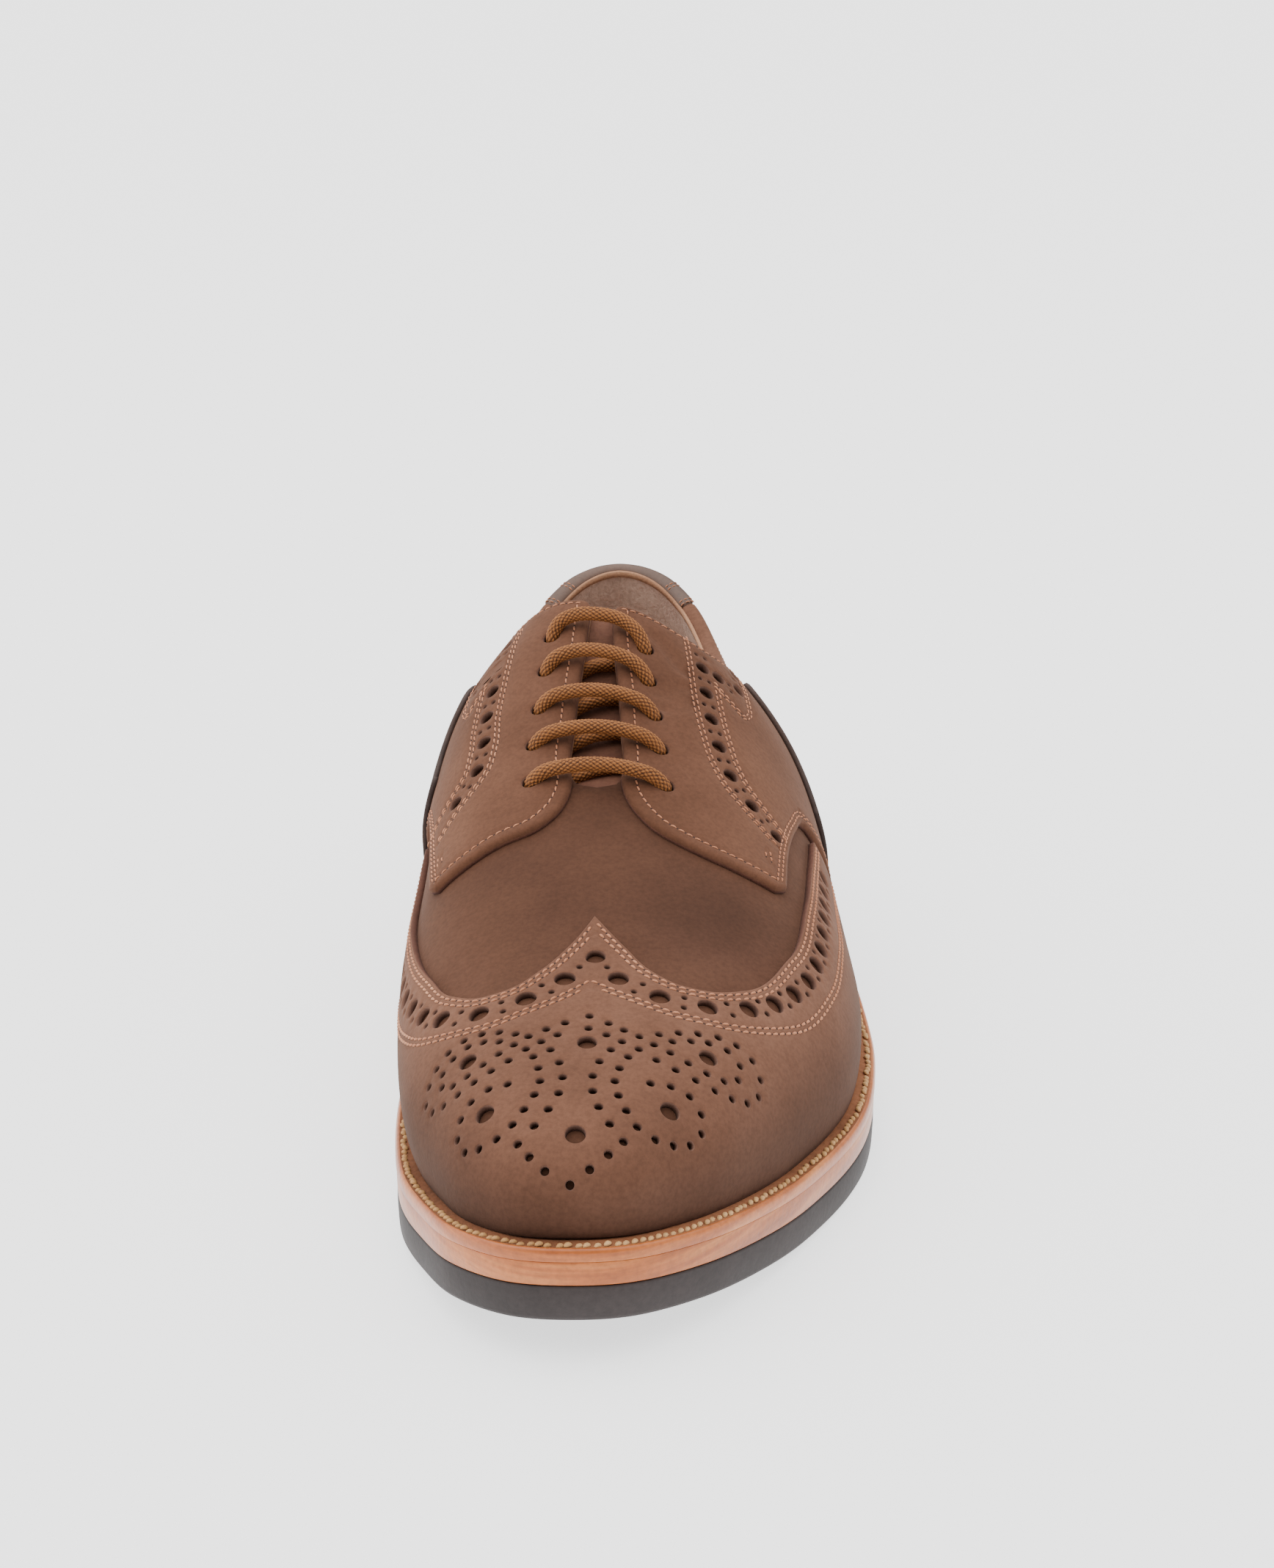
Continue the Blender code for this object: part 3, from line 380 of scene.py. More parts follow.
BEAD_SIDES = 7
BeadRing = namedtuple("BeadRing", "along size")
BEAD_HALF = (BeadRing(1.0, 0.08), BeadRing(0.82, 0.62), BeadRing(0.35, 1.0))
GROOVE_DEPTH = 0.22
GROOVE_HALF = 0.62
ROW_GAP = 1.45
WING_STITCH_INSET = 1.05
WING_STITCH_WIDTH = 0.66
STAY_GAP = 1.2
STAY_WIDTH = 7.7
STAY_MIDDLE = 4.6
FACING_STITCH_INSET = 3.4
NOTCH_STITCH_INSET = 2.0
TOP_STITCH_INSET = 1.7
RIDGE_CLEARANCE = 0.25
STITCH_RISE = 0.2
STITCH_PARTS = 8
NEEDLE_SINK = 0.12
BEAD_DIP = 0.22
BEAD_FLAT = 0.85

Crease = namedtuple("Crease", "first_row first last_row last depth width")

# Lines on the leather, read from the photograph as places on the last
WING_HOLES = (
    EdgePoint(3.08, 0.923, 3.10, 0.930),
    EdgePoint(3.14, 0.803, 3.20, 0.820),
    EdgePoint(3.58, 0.650, 3.66, 0.675),
    EdgePoint(4.12, 0.515, 4.14, 0.560),
    EdgePoint(4.84, 0.385, 4.72, 0.466),
    EdgePoint(5.50, 0.320, 5.36, 0.420),
    EdgePoint(6.40, 0.270, 6.30, 0.378),
    EdgePoint(7.60, 0.220, 7.60, 0.300),
)
WING_LOWER = (
    both(2.30, 1.000),
    EdgePoint(2.60, 0.880, 2.78, 0.870),
    EdgePoint(2.90, 0.777, 3.02, 0.777),
    EdgePoint(3.22, 0.663, 3.32, 0.687),
    EdgePoint(3.64, 0.560, 3.64, 0.597),
    EdgePoint(4.16, 0.430, 4.00, 0.510),
    EdgePoint(4.70, 0.325, 4.40, 0.420),
    EdgePoint(5.40, 0.250, 5.20, 0.350),
    EdgePoint(6.40, 0.195, 6.20, 0.305),
    EdgePoint(7.70, 0.150, 7.70, 0.230),
)
STAY_FRONT = (
    EdgePoint(9.46, 0.760, 9.22, 0.775),
    EdgePoint(9.02, 0.763, 8.68, 0.770),
    EdgePoint(8.50, 0.757, 8.14, 0.763),
    EdgePoint(8.00, 0.747, 7.72, 0.747),
    EdgePoint(7.54, 0.745, 7.36, 0.723),
    EdgePoint(7.20, 0.715, 7.10, 0.687),
    EdgePoint(7.04, 0.660, 6.88, 0.623),
    EdgePoint(6.92, 0.600, 6.78, 0.586),
    EdgePoint(6.78, 0.530, 6.68, 0.548),
)
COLLAR_LINE = (
    EdgePoint(8.66, 0.690, 8.62, 0.706),
    EdgePoint(8.50, 0.640, 8.46, 0.645),
    EdgePoint(8.42, 0.605, 8.40, 0.608),
    EdgePoint(8.52, 0.580, 8.50, 0.584),
    EdgePoint(8.80, 0.572, 8.78, 0.574),
    EdgePoint(9.20, 0.565, 9.15, 0.567),
    EdgePoint(9.60, 0.520, 9.55, 0.525),
    both(10.0, 0.455),
    both(10.5, 0.435),
    both(11.2, 0.480),
    both(12.2, 0.550),
    both(13.1, 0.595),
    both(13.95, 0.610),
)
COLLAR_HOLES = (
    EdgePoint(8.88, 0.680, 8.84, 0.692),
    EdgePoint(8.76, 0.645, 8.74, 0.648),
    EdgePoint(8.82, 0.618, 8.80, 0.618),
    EdgePoint(9.20, 0.605, 9.12, 0.600),
    EdgePoint(9.60, 0.560, 9.42, 0.562),
    EdgePoint(10.0, 0.490, 10.0, 0.486),
    both(10.5, 0.468),
    both(11.2, 0.515),
    both(12.2, 0.585),
    both(13.1, 0.630),
    both(13.9, 0.645),
)
TOP_EDGE = (
    EdgePoint(9.37, 0.993, 9.30, 0.990),
    EdgePoint(9.44, 0.940, 9.30, 0.910),
    EdgePoint(9.50, 0.895, 9.27, 0.860),
    EdgePoint(9.55, 0.840, 9.22, 0.793),
    EdgePoint(9.58, 0.790, 9.20, 0.730),
    EdgePoint(9.60, 0.730, 9.23, 0.680),
    EdgePoint(9.65, 0.660, 9.30, 0.635),
    EdgePoint(9.75, 0.600, 9.42, 0.593),
    EdgePoint(9.90, 0.555, 9.62, 0.555),
    EdgePoint(10.1, 0.525, 10.0, 0.520),
    both(10.5, 0.515),
    both(11.0, 0.553),
    both(11.5, 0.600),
    both(12.0, 0.649),
    both(12.5, 0.681),
    both(13.0, 0.705),
    both(13.5, 0.720),
    both(14.0, 0.725),
)
EYELETS = (
    EdgePoint(6.83, 0.843, 6.77, 0.842),
    EdgePoint(7.35, 0.849, 7.29, 0.852),
    EdgePoint(7.85, 0.859, 7.75, 0.865),
    EdgePoint(8.39, 0.869, 8.23, 0.879),
    EdgePoint(8.89, 0.879, 8.69, 0.885),
)
COUNTER_TOP_EDGE = (
    EdgePoint(7.90, 0.020, 8.44, 0.020),
    EdgePoint(7.94, 0.300, 8.46, 0.160),
    EdgePoint(8.02, 0.415, 8.50, 0.240),
    EdgePoint(8.24, 0.445, 8.58, 0.280),
    EdgePoint(8.44, 0.455, 8.70, 0.312),
    EdgePoint(8.58, 0.478, 8.90, 0.366),
    EdgePoint(8.70, 0.500, 9.06, 0.432),
    EdgePoint(8.80, 0.530, 9.22, 0.500),
    EdgePoint(8.92, 0.552, 9.34, 0.525),
    EdgePoint(9.10, 0.557, 9.46, 0.522),
    EdgePoint(9.40, 0.530, 9.60, 0.498),
    EdgePoint(9.70, 0.475, 9.80, 0.455),
    both(10.0, 0.430),
    both(10.5, 0.405),
    both(11.2, 0.430),
    both(12.5, 0.480),
    both(14.0, 0.520),
)
FACING_CREASES = (
    Crease(8.94, 0.860, 8.56, 0.780, 0.95, 1.9),
    Crease(8.08, 0.847, 8.34, 0.785, 0.80, 1.7),
    Crease(7.86, 0.842, 8.14, 0.770, 0.60, 1.7),
)
BAR_TACK = (
    EdgePoint(6.52, 0.560, 6.50, 0.587),
    EdgePoint(6.32, 0.560, 6.30, 0.587),
)

# Toe medallion, one half of it: millimetres across from the middle line and ahead of its top
Spot = namedtuple("Spot", "across ahead")
MEDALLION_TOP = (-11.9, -95.4)
MEDALLION_DRIFT = -0.02
MEDALLION_SPREAD = 2.2
MEDALLION_SKEW = 0.03
MEDALLION_PITCH = 0.2
EASE_ACROSS = 2.0
EASE_AHEAD = 4.0
Chain = namedtuple("Chain", "holes spots")
MEDALLION = (
    Chain(3, (Spot(3.3, 1.5), Spot(6.2, 3.0), Spot(9.2, 4.3))),
    Chain(3, (Spot(3.2, 4.8), Spot(6.2, 6.4), Spot(9.6, 8.1))),
    Chain(14, (Spot(12.9, 2.6), Spot(21.4, -1.4), Spot(31.8, -3.0), Spot(39.6, 0.6), Spot(42.2, 6.7),
               Spot(40.2, 10.8), Spot(36.6, 12.9), Spot(31.3, 14.0), Spot(19.5, 12.7), Spot(13.6, 10.6))),
    Chain(11, (Spot(12.4, 6.0), Spot(19.8, 1.9), Spot(26.0, 0.0), Spot(31.6, 0.9), Spot(34.6, 4.6),
               Spot(33.4, 8.4), Spot(29.6, 10.0), Spot(22.0, 9.5), Spot(16.1, 7.5))),
    Chain(14, (Spot(7.9, 10.7), Spot(6.3, 17.4), Spot(10.2, 26.6), Spot(15.4, 32.6), Spot(23.0, 35.2),
               Spot(29.2, 34.0), Spot(31.3, 29.0), Spot(28.4, 22.8), Spot(22.4, 18.6), Spot(13.8, 17.9))),
    Chain(7, (Spot(4.4, 9.0), Spot(2.2, 14.1), Spot(1.9, 19.6), Spot(4.2, 26.8), Spot(12.2, 37.1))),
    Chain(2, (Spot(9.3, 42.0), Spot(5.1, 47.6))),
)
MEDALLION_MIDDLE = (Spot(0.0, 0.0), Spot(0.0, 3.3), Spot(0.0, 53.1))
MEDALLION_BIG = (Spot(24.8, 5.1), Spot(20.5, 25.3))
MEDALLION_BIG_MIDDLE = (Spot(0.0, 7.3), Spot(0.0, 36.1))

# Half a crossing of the lace: the share of the way, and millimetres from the last's surface
Bend = namedtuple("Bend", "along lift")
LACE_BAR = (Bend(-0.012, -2.6), Bend(-0.008, -0.8), Bend(0.01, 1.4), Bend(0.06, 3.0), Bend(0.13, 4.2),
            Bend(0.27, 5.0), Bend(0.5, 5.5))
LACE_UNDER = (Bend(0.06, -4.0), Bend(0.2, -4.1), Bend(0.38, -3.0), Bend(0.5, -2.5))
# How far each bar bows towards the ankle, from the bottom bar up
LACE_BOWS = (0.0, 0.7, 1.8, 3.8, 5.2)
LACE_RADIUS = 1.9
LACE_STEP = 0.27
LACE_SIDES = 48
LACE_END = 6.0
LACE_LEAST = 0.0004
BRAID_STRANDS = 5
BRAID_PITCH = 3.2
BRAID_RELIEF = 0.2
BRAID_DIP = 0.45
TONGUE_WALL = 2.2
TONGUE_FIRST_ROW = 5.75
TONGUE_LAST_ROW = 9.42
TONGUE_HALF_FLAT = 16.5
TONGUE_SAG = 2.6
TongueLift = namedtuple("TongueLift", "row lift")
TONGUE_LIFTS = (
    TongueLift(5.75, -2.9),
    TongueLift(6.5, -2.3),
    TongueLift(6.75, -2.6),
    TongueLift(7.1, -4.4),
    TongueLift(8.6, -4.5),
    TongueLift(9.15, -3.0),
    TongueLift(9.42, -2.7),
)
TONGUE_SEWN_ROWS = (7.2, 9.36)
TONGUE_SEAM_HALF = 6.0
TONGUE_SEAM_RISE = 0.05
TONGUE_END_ROWS = 0.06
TONGUE_NARROWING = 0.12
TONGUE_ROUND = 0.08
COUNTER_STEPS = 26
COUNTER_SIDE_ROW = 10.0
COUNTER_FRONT_ROWS = 0.02
COUNTER_SHOULDER = 0.008
COUNTER_CUT = 0.002
COUNTER_CUT_DROP = 0.25
COUNTER_FOOT_RISE = 0.05
COUNTER_BACK_RISE = 0.02
BINDING_WIDTH = 4.7
BINDING_HEIGHT = 2.7
BINDING_FIRST_ROW = 9.62
ROLL_SIDES = 24
ROLL_END = 3.0
ROLL_SINK = 0.5
FOLD_ROW = 12.08
ROLL_LEAST = 0.03
FOLD_OVERLAP = 0.12
SIDE_ROLL_WIDTH = 4.2
SIDE_ROLL_HEIGHT = 2.1
ROLL_MARKS = (12.2, 12.68)
ROLL_MARK_ANGLES = (35.0, 80.0, 125.0)
ROLL_MARK_RISE = 0.05
ROLL_MARK_LENGTH = 1.4
COLLAR_STEP = 0.8
# The lining's raw edge: its middle from the top line, and its section, outwards and upwards
LINING_EDGE_IN = 0.4
LINING_EDGE_UP = 0.8
LINING_EDGE_SECTION = ((0.55, 0.3), (0.2, 0.6), (-0.45, 0.35), (-0.5, -1.3), (0.3, -1.4))
WELT_STITCH_INSET = 2.1
WELT_STITCH_DROP = 0.85
WELT_STITCH_PITCH = 2.0
WELT_STITCH_LENGTH = 1.9
WELT_STITCH_WIDTH = 1.25
WELT_STITCH_SLANT = 0.55
WELT_STITCH_SPREAD = 0.16
WELT_STITCH_SEED = 7
SOLE_REACH = 9.0
SOLE_ROW_STEPS = 12
SOLE_SEAM = 0.1
WELT_SEAM = 0.05
HEEL_INSET = 0.5

# The ridge over the shoe, from which both sides of the flat pattern are laid out
RIDGE_ROWS = np.linspace(0, LAST_ROW + 0.5, 581)
RIDGE_X = 0.5 * (station(RIDGE_ROWS, MEDIAL)[:, 2] + station(RIDGE_ROWS, LATERAL)[:, 2])


def pattern_length():
    """Way along the flat pattern for each row: the ridge over the toe, then the girth of the wall."""
    walls = [last_surface(RIDGE_ROWS, GIRTH_HEIGHT, side) for side in SIDES]
    steps = sum(np.diff(travel(wall)) for wall in walls) / 2
    ridge_y = station(RIDGE_ROWS, LATERAL)[:, 3]
    steps = np.where(RIDGE_ROWS[1:] <= FAN_ROW, np.diff(ridge_y), steps)
    return ridge_y[0] + np.concatenate([[0.0], np.cumsum(steps)])


RIDGE_Y = pattern_length()


def ridge(row):
    return np.interp(row, RIDGE_ROWS, RIDGE_X), np.interp(row, RIDGE_ROWS, RIDGE_Y)


def pattern(row, height, side):
    """Flat pattern: the upper laid open over its ridge, the toe fanned out round its end."""
    row, height = np.broadcast_arrays(np.asarray(row, float), np.asarray(height, float))
    x, y = ridge(row)
    turn = np.clip(row / FAN_ROW, 0, 1) * math.pi / 2
    reach = (1 - height) * WALL_SCALE
    return np.stack([x + side * np.sin(turn) * reach, y - np.cos(turn) * reach], -1)


def unpattern(flat):
    """Row, height and side of places in the flat pattern."""
    x, y = flat[..., 0], flat[..., 1]
    side = np.where(x < np.interp(y, RIDGE_Y, RIDGE_X), MEDIAL, LATERAL)
    low = np.zeros(x.shape)
    high = np.full(x.shape, FAN_ROW)
    for _ in range(HALVINGS):
        row = (low + high) / 2
        ridge_x, ridge_y = ridge(row)
        turn = row / FAN_ROW * math.pi / 2
        beyond = np.sin(turn) * (y - ridge_y) + np.cos(turn) * side * (x - ridge_x) > 0
        low = np.where(beyond, row, low)
        high = np.where(beyond, high, row)
    row = np.where(y >= ridge(FAN_ROW)[1], np.interp(y, RIDGE_Y, RIDGE_ROWS), row)
    ridge_x, ridge_y = ridge(row)
    return row, 1 - np.hypot(x - ridge_x, y - ridge_y) / WALL_SCALE, side


def place(flat, lift):
    """Points over the last, at a lift from its surface, for places in the flat pattern."""
    flat = np.asarray(flat, float)
    lift = np.broadcast_to(np.asarray(lift, float), flat.shape[:-1])
    row, height, side = unpattern(flat)
    points = np.empty(flat.shape[:-1] + (3,))
    for which in SIDES:
        here = side == which
        points[here] = lifted(row[here], height[here], which, lift[here])
    return points


def surface_frame(flat):
    """Change of the surface for each step across and along the pattern, and its outward normal."""
    step = 0.05
    across = (place(flat + (step, 0), 0.0) - place(flat - (step, 0), 0.0)) / (2 * step)
    along = (place(flat + (0, step), 0.0) - place(flat - (0, step), 0.0)) / (2 * step)
    return across, along, unit(np.cross(across, along))


def flat_step(across, along, move):
    """Step in the flat pattern that makes a move of millimetres on the surface."""
    aa = (across * across).sum(-1)
    ab = (across * along).sum(-1)
    bb = (along * along).sum(-1)
    ma = (across * move).sum(-1)
    mb = (along * move).sum(-1)
    det = aa * bb - ab * ab
    return np.stack([(ma * bb - mb * ab) / det, (mb * aa - ma * ab) / det], -1)


def beside(curve, distance, closed=False):
    """A curve moved to its left by a distance on the surface, in short steps."""
    steps = max(1, math.ceil(abs(distance) / BESIDE_STEP))
    for _ in range(steps):
        points = place(curve, 0.0)
        run = np.roll(points, -1, 0) - np.roll(points, 1, 0) if closed else np.gradient(points, axis=0)
        across, along, normal = surface_frame(curve)
        curve = curve + flat_step(across, along, np.cross(normal, unit(run)) * distance / steps)
    return curve


def even(curve, pitch):
    """The curve with its points spaced evenly on the surface."""
    run = travel(place(curve, 0.0))
    marks = np.linspace(0.0, run[-1], max(2, round(run[-1] / pitch) + 1))
    return np.stack([np.interp(marks, run, curve[:, 0]), np.interp(marks, run, curve[:, 1])], 1)


def through(flat, pitch):
    """A smooth, evenly spaced curve through places in the flat pattern."""
    flat = np.asarray(flat, float)
    knots = travel(flat)
    return even(smooth(knots, flat, np.linspace(0.0, knots[-1], 30 * len(flat))), pitch)


def table_places(table, side):
    """Places in the flat pattern of a line's table on one side."""
    return pattern(*sided(table, side), side)


def table_curve(table, side, pitch=CURVE_PITCH):
    return through(table_places(table, side), pitch)


def inside(points, outline):
    """Which flat points lie inside a closed outline."""
    result = np.zeros(len(points), bool)
    for (x0, y0), (x1, y1) in zip(outline, np.roll(outline, -1, axis=0)):
        crosses = (y0 > points[:, 1]) != (y1 > points[:, 1])
        rise = y1 - y0 if y1 != y0 else TINY
        result ^= crosses & (points[:, 0] < (x1 - x0) * (points[:, 1] - y0) / rise + x0)
    return result


def shown(name, data):
    """A new object in the scene."""
    thing = bpy.data.objects.new(name, data)
    bpy.context.scene.collection.objects.link(thing)
    return thing


class Draft:
    """Points, faces and a material number for each face, gathered into one mesh."""

    def __init__(self):
        self.points = []
        self.faces = []
        self.kinds = []
        self.count = 0

    def add(self, points):
        points = np.asarray(points, float)
        ids = np.arange(self.count, self.count + points[..., 0].size).reshape(points.shape[:-1])
        self.points.append(points.reshape(-1, 3))
        self.count += ids.size
        return ids

    def join(self, faces, kind=0):
        faces = np.asarray(faces).tolist()
        self.faces.extend(faces)
        self.kinds.extend([kind] * len(faces))

    def strip(self, a, b, kind=0, closed=False):
        """Faces between two lines of points: along the first, with the second on its left."""
        if closed:
            a = np.append(a, a[:1])
            b = np.append(b, b[:1])
        self.join(np.stack([a[:-1], a[1:], b[1:], b[:-1]], 1), kind)

    def grid(self, points, kind=0, closed=False):
        ids = self.add(points)
        for a, b in zip(ids, ids[1:]):
            self.strip(a, b, kind, closed)
        return ids

    def tube(self, points, kind=0):
        """Rings of points joined to a tube, with a face over both ends."""
        ids = self.grid(points, kind, closed=True)
        self.join([ids[0][::-1], ids[-1]], kind)

    def piece(self, name, shades, nodes=(), slot=None):
        mesh = bpy.data.meshes.new(name)
        points = (np.concatenate(self.points) - CENTRE) * MM
        mesh.from_pydata(points.tolist(), [], self.faces)
        for shade in shades:
            mesh.materials.append(shade)
        mesh.polygons.foreach_set("material_index", self.kinds)
        mesh.shade_smooth()
        mesh.update()
        piece = shown(name, mesh)
        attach(piece, "root")
        if nodes:
            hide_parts(*nodes)
        return piece


Hole = namedtuple("Hole", "centre radius")


def circles(centres, radii):
    """Rings round places in the flat pattern that are round on the surface."""
    across, along, normal = surface_frame(centres)
    first = unit(across)
    moves = radii[:, None, None] * around(HOLE_SIDES, first, np.cross(normal, first))
    return centres[:, None] + flat_step(across[:, None], along[:, None], moves)


def near_any(points, others, distance):
    """Which flat points lie within a distance of any of the others."""
    tree = KDTree(len(others))
    for index, (x, y) in enumerate(others.tolist()):
        tree.insert((x, y, 0.0), index)
    tree.balance()
    return np.array([tree.find((x, y, 0.0))[2] < distance for x, y in points.tolist()], bool)


def in_holes(points, rings):
    """Which flat points lie inside any of the rings."""
    result = np.zeros(len(points), bool)
    for ring in rings:
        near = np.nonzero(((points > ring.min(axis=0)) & (points < ring.max(axis=0))).all(axis=1))[0]
        result[near] |= inside(points[near], ring)
    return result


def sunk(flat, creases):
    """Depth, at places in the pattern, of the soft troughs that lacing pulls into the lateral facing."""
    depth = np.zeros(len(flat))
    for crease in creases:
        start = pattern(crease.first_row, crease.first, LATERAL)
        way = pattern(crease.last_row, crease.last, LATERAL) - start
        along = np.clip((flat - start) @ way / (way @ way), 0, 1)
        away = np.linalg.norm(flat - start - along[:, None] * way, axis=1)
        depth = np.maximum(depth, crease.depth * np.exp(-(away / crease.width)**2))
    return depth


def fits(hole, rim):
    """Whether a hole lies wholly inside the rim of its piece, with its soft lip."""
    away = np.linalg.norm(rim - hole.centre, axis=1).min()
    return away > hole.radius + HOLE_FLARE + HOLE_MARGIN and inside(hole.centre[None], rim)[0]


def face_points(rim, lips, grooves, pitch):
    """Points of a panel's face and how far each is sunk: rim, lips of holes, grooves, then a grid."""
    fixed = np.concatenate([rim, lips.reshape(-1, 2)])
    lines = np.concatenate([np.empty((0, 2))] + [line for line, _ in grooves])
    drop = np.concatenate([np.empty(0)] + [np.full(len(line), -deep) for line, deep in grooves])
    keep = inside(lines, rim) & ~near_any(lines, fixed, LINE_CLEARANCE) & ~in_holes(lines, lips)
    lines, drop = lines[keep], drop[keep]
    low = rim.min(axis=0)
    high = rim.max(axis=0)
    grid = np.stack(np.meshgrid(np.arange(low[0], high[0], pitch),
                                np.arange(low[1], high[1], pitch * TRIANGLE_HEIGHT), indexing="ij"), -1)
    grid[:, 1::2, 0] += pitch / 2
    grid = grid.reshape(-1, 2)
    grid = grid[inside(grid, rim)]
    taken = np.concatenate([fixed, lines])
    grid = grid[~near_any(grid, taken, GRID_CLEARANCE * pitch) & ~in_holes(grid, lips)]
    drop = np.concatenate([np.zeros(len(fixed)), drop, np.zeros(len(grid))])
    return np.concatenate([taken, grid]), drop


def panel(outline, base, top, edge, holes, grooves=(), pitch=PANEL_PITCH, creases=()):
    """One cut piece of leather: its face, rounded edge, back, and the holes punched through it.

    The outline runs counter-clockwise in the flat pattern.
    Face kinds: 0 face, 1 cut edge, 2 back, 3 wall of a hole.
    """
    rim = beside(outline, edge, closed=True)
    holes = [hole for hole in holes if fits(hole, rim)]
    rounded = beside(outline, SHOULDER * edge, closed=True)
    centres = np.array([hole.centre for hole in holes]).reshape(-1, 2)
    radii = np.array([hole.radius for hole in holes], float)
    lips = circles(centres, radii + HOLE_FLARE)
    points, drop = face_points(rim, lips, grooves, pitch)
    lip_ids = len(rim) + np.arange(len(holes) * HOLE_SIDES).reshape(-1, HOLE_SIDES)
    ring_of = np.full(len(points), -1)
    ring_of[lip_ids] = np.arange(len(holes))[:, None]
    edges = np.stack([lip_ids, np.roll(lip_ids, -1, 1)], -1).reshape(-1, 2).tolist()
    flat, _, faces, source, _, _ = delaunay_2d_cdt(
        [Vector(point) for point in points], edges, [list(range(len(rim)))], 1, MERGE_DISTANCE)
    flat = np.array([tuple(point) for point in flat])
    faces = np.array(faces)
    first = np.array([origin[0] if origin else -1 for origin in source])
    corner = np.where(first >= 0, ring_of[first], -1)[faces]
    faces = faces[(corner[:, 0] < 0) | (corner[:, 0] != corner[:, 1]) | (corner[:, 1] != corner[:, 2])]
    now = np.zeros(len(points), int)
    for number, origins in enumerate(source):
        now[origins] = number
    sunken = np.where(first >= 0, drop[first], 0.0) - sunk(flat, creases)
    draft = Draft()
    face_ids = draft.add(place(flat, top + sunken))
    back_ids = draft.add(place(flat, base))
    draft.join(face_ids[faces], 0)
    draft.join(back_ids[faces][:, ::-1], 2)
    rim_now = now[:len(rim)]
    foot = draft.add(place(outline, base))
    side_line = draft.add(place(outline, top - edge))
    shoulder = draft.add(place(rounded, top - SHOULDER * edge))
    draft.strip(back_ids[rim_now], foot, 2, closed=True)
    draft.strip(foot, side_line, 1, closed=True)
    draft.strip(side_line, shoulder, 1 if edge < CUT_LIMIT else 0, closed=True)
    draft.strip(shoulder, face_ids[rim_now], 0, closed=True)
    turn = draft.add(place(circles(centres, radii + HOLE_TURN_OUT), top - HOLE_TURN_DROP))
    wall = draft.add(place(circles(centres, radii), top - HOLE_WALL_DROP))
    end = draft.add(place(circles(centres, radii * HOLE_TAPER), base))
    for lip, a, b, c in zip(now[lip_ids], turn, wall, end):
        draft.strip(face_ids[lip], a, 0, closed=True)
        draft.strip(a, b, 3, closed=True)
        draft.strip(b, c, 3, closed=True)
        draft.strip(c, back_ids[lip], 2, closed=True)
    return draft


def sunk_lines(lines):
    """Stitched lines pulled into the leather, with level ground on both sides of each."""
    return [(beside(line, away) if away else line, deep) for line in lines
            for away, deep in ((0.0, GROOVE_DEPTH), (GROOVE_HALF, 0.0), (-GROOVE_HALF, 0.0))]


def beads(draft, centre, run, normal, length, width):
    """Short rounded lengths of thread, one for each centre, that dip into the leather at both ends."""
    ring = width / 2 * around(BEAD_SIDES, np.cross(normal, run), BEAD_FLAT * normal)
    rings = []
    for along, size in [BeadRing(-end.along, end.size) for end in BEAD_HALF] + list(BEAD_HALF[::-1]):
        middle = centre + run * (along * length / 2) - normal * (BEAD_DIP * along * along)
        rings.append(middle[:, None] + size * ring)
    ids = draft.add(np.stack(rings, 1))
    a = ids[:, :-1]
    b = ids[:, 1:]
    draft.join(np.stack([a, np.roll(a, -1, 2), np.roll(b, -1, 2), b], -1).reshape(-1, 4), 0)
    draft.join(ids[:, 0][:, ::-1], 0)
    draft.join(ids[:, -1], 0)


def stitch_row(draft, line, lift, start=0.0, width=STITCH_WIDTH):
    """Stitches along a line in the flat pattern, with a dark disc between each two: painted shade for a
    needle hole.
    """
    fine = even(line, STITCH_PITCH / STITCH_PARTS)
    half = STITCH_PARTS // 2
    marks = np.arange(round(start * STITCH_PARTS) + half, len(fine) - half - 1, STITCH_PARTS)
    if len(marks) == 0:
        return
    run = unit(place(fine[marks + 2], lift) - place(fine[marks - 2], lift))
    normal = surface_frame(fine[marks])[2]
    run = unit(run + STITCH_SLANT * np.cross(normal, run))
    beads(draft, place(fine[marks], lift), run, normal, STITCH_LENGTH, width)
    # Painted shade: a small dark disc, sunk a little, for each needle hole
    spot = place(fine[marks + half], lift - NEEDLE_SINK)
    draft.join(draft.add(spot[:, None] + NEEDLE_HOLE * around(BEAD_SIDES, run, np.cross(normal, run))), 1)


def sew(draft, lines, top, width=STITCH_WIDTH):
    """Stitches in the sunk lines of a piece, every other row half a stitch on."""
    for number, line in enumerate(lines):
        stitch_row(draft, line, top - GROOVE_DEPTH + STITCH_RISE, 0.5 * (number % 2), width)


def joined(*curves):
    """Curves laid end to end as one closed outline, without doubled points."""
    flat = np.concatenate(curves)
    gap = np.linalg.norm(flat - np.roll(flat, 1, axis=0), axis=1)
    return flat[gap > DOUBLED]


def straight(start, end):
    share = np.linspace(0.0, 1.0, 40)[:, None]
    return even(start * (1 - share) + end * share, CURVE_PITCH)


def foot_curve(side, first, last):
    """The lower edge of the leather, tucked behind the welt's lip."""
    return even(pattern(np.linspace(first, last, 200), UPPER_FOOT, side), FOOT_PITCH)


def facing_curve(side, first):
    """The lacing edge on one side, from a front row to the corner of the top line."""
    rows = np.linspace(first, sided(TOP_EDGE, side)[0][0] - FACING_CORNER_ROWS, 60)
    away = smooth(column(THROAT, "y"), column(THROAT, "half"), station(rows, side)[:, 3])
    heights = np.full(rows.shape, FACING_GUESS)
    for _ in range(FACING_ROUNDS):
        offset = side * (last_surface(rows, heights, side)[:, 0] - ridge(rows)[0])
        heights = np.clip(heights + (offset - away) / FACING_SPREAD, FACING_LOWEST, 1.0)
    return pattern(rows, heights, side)


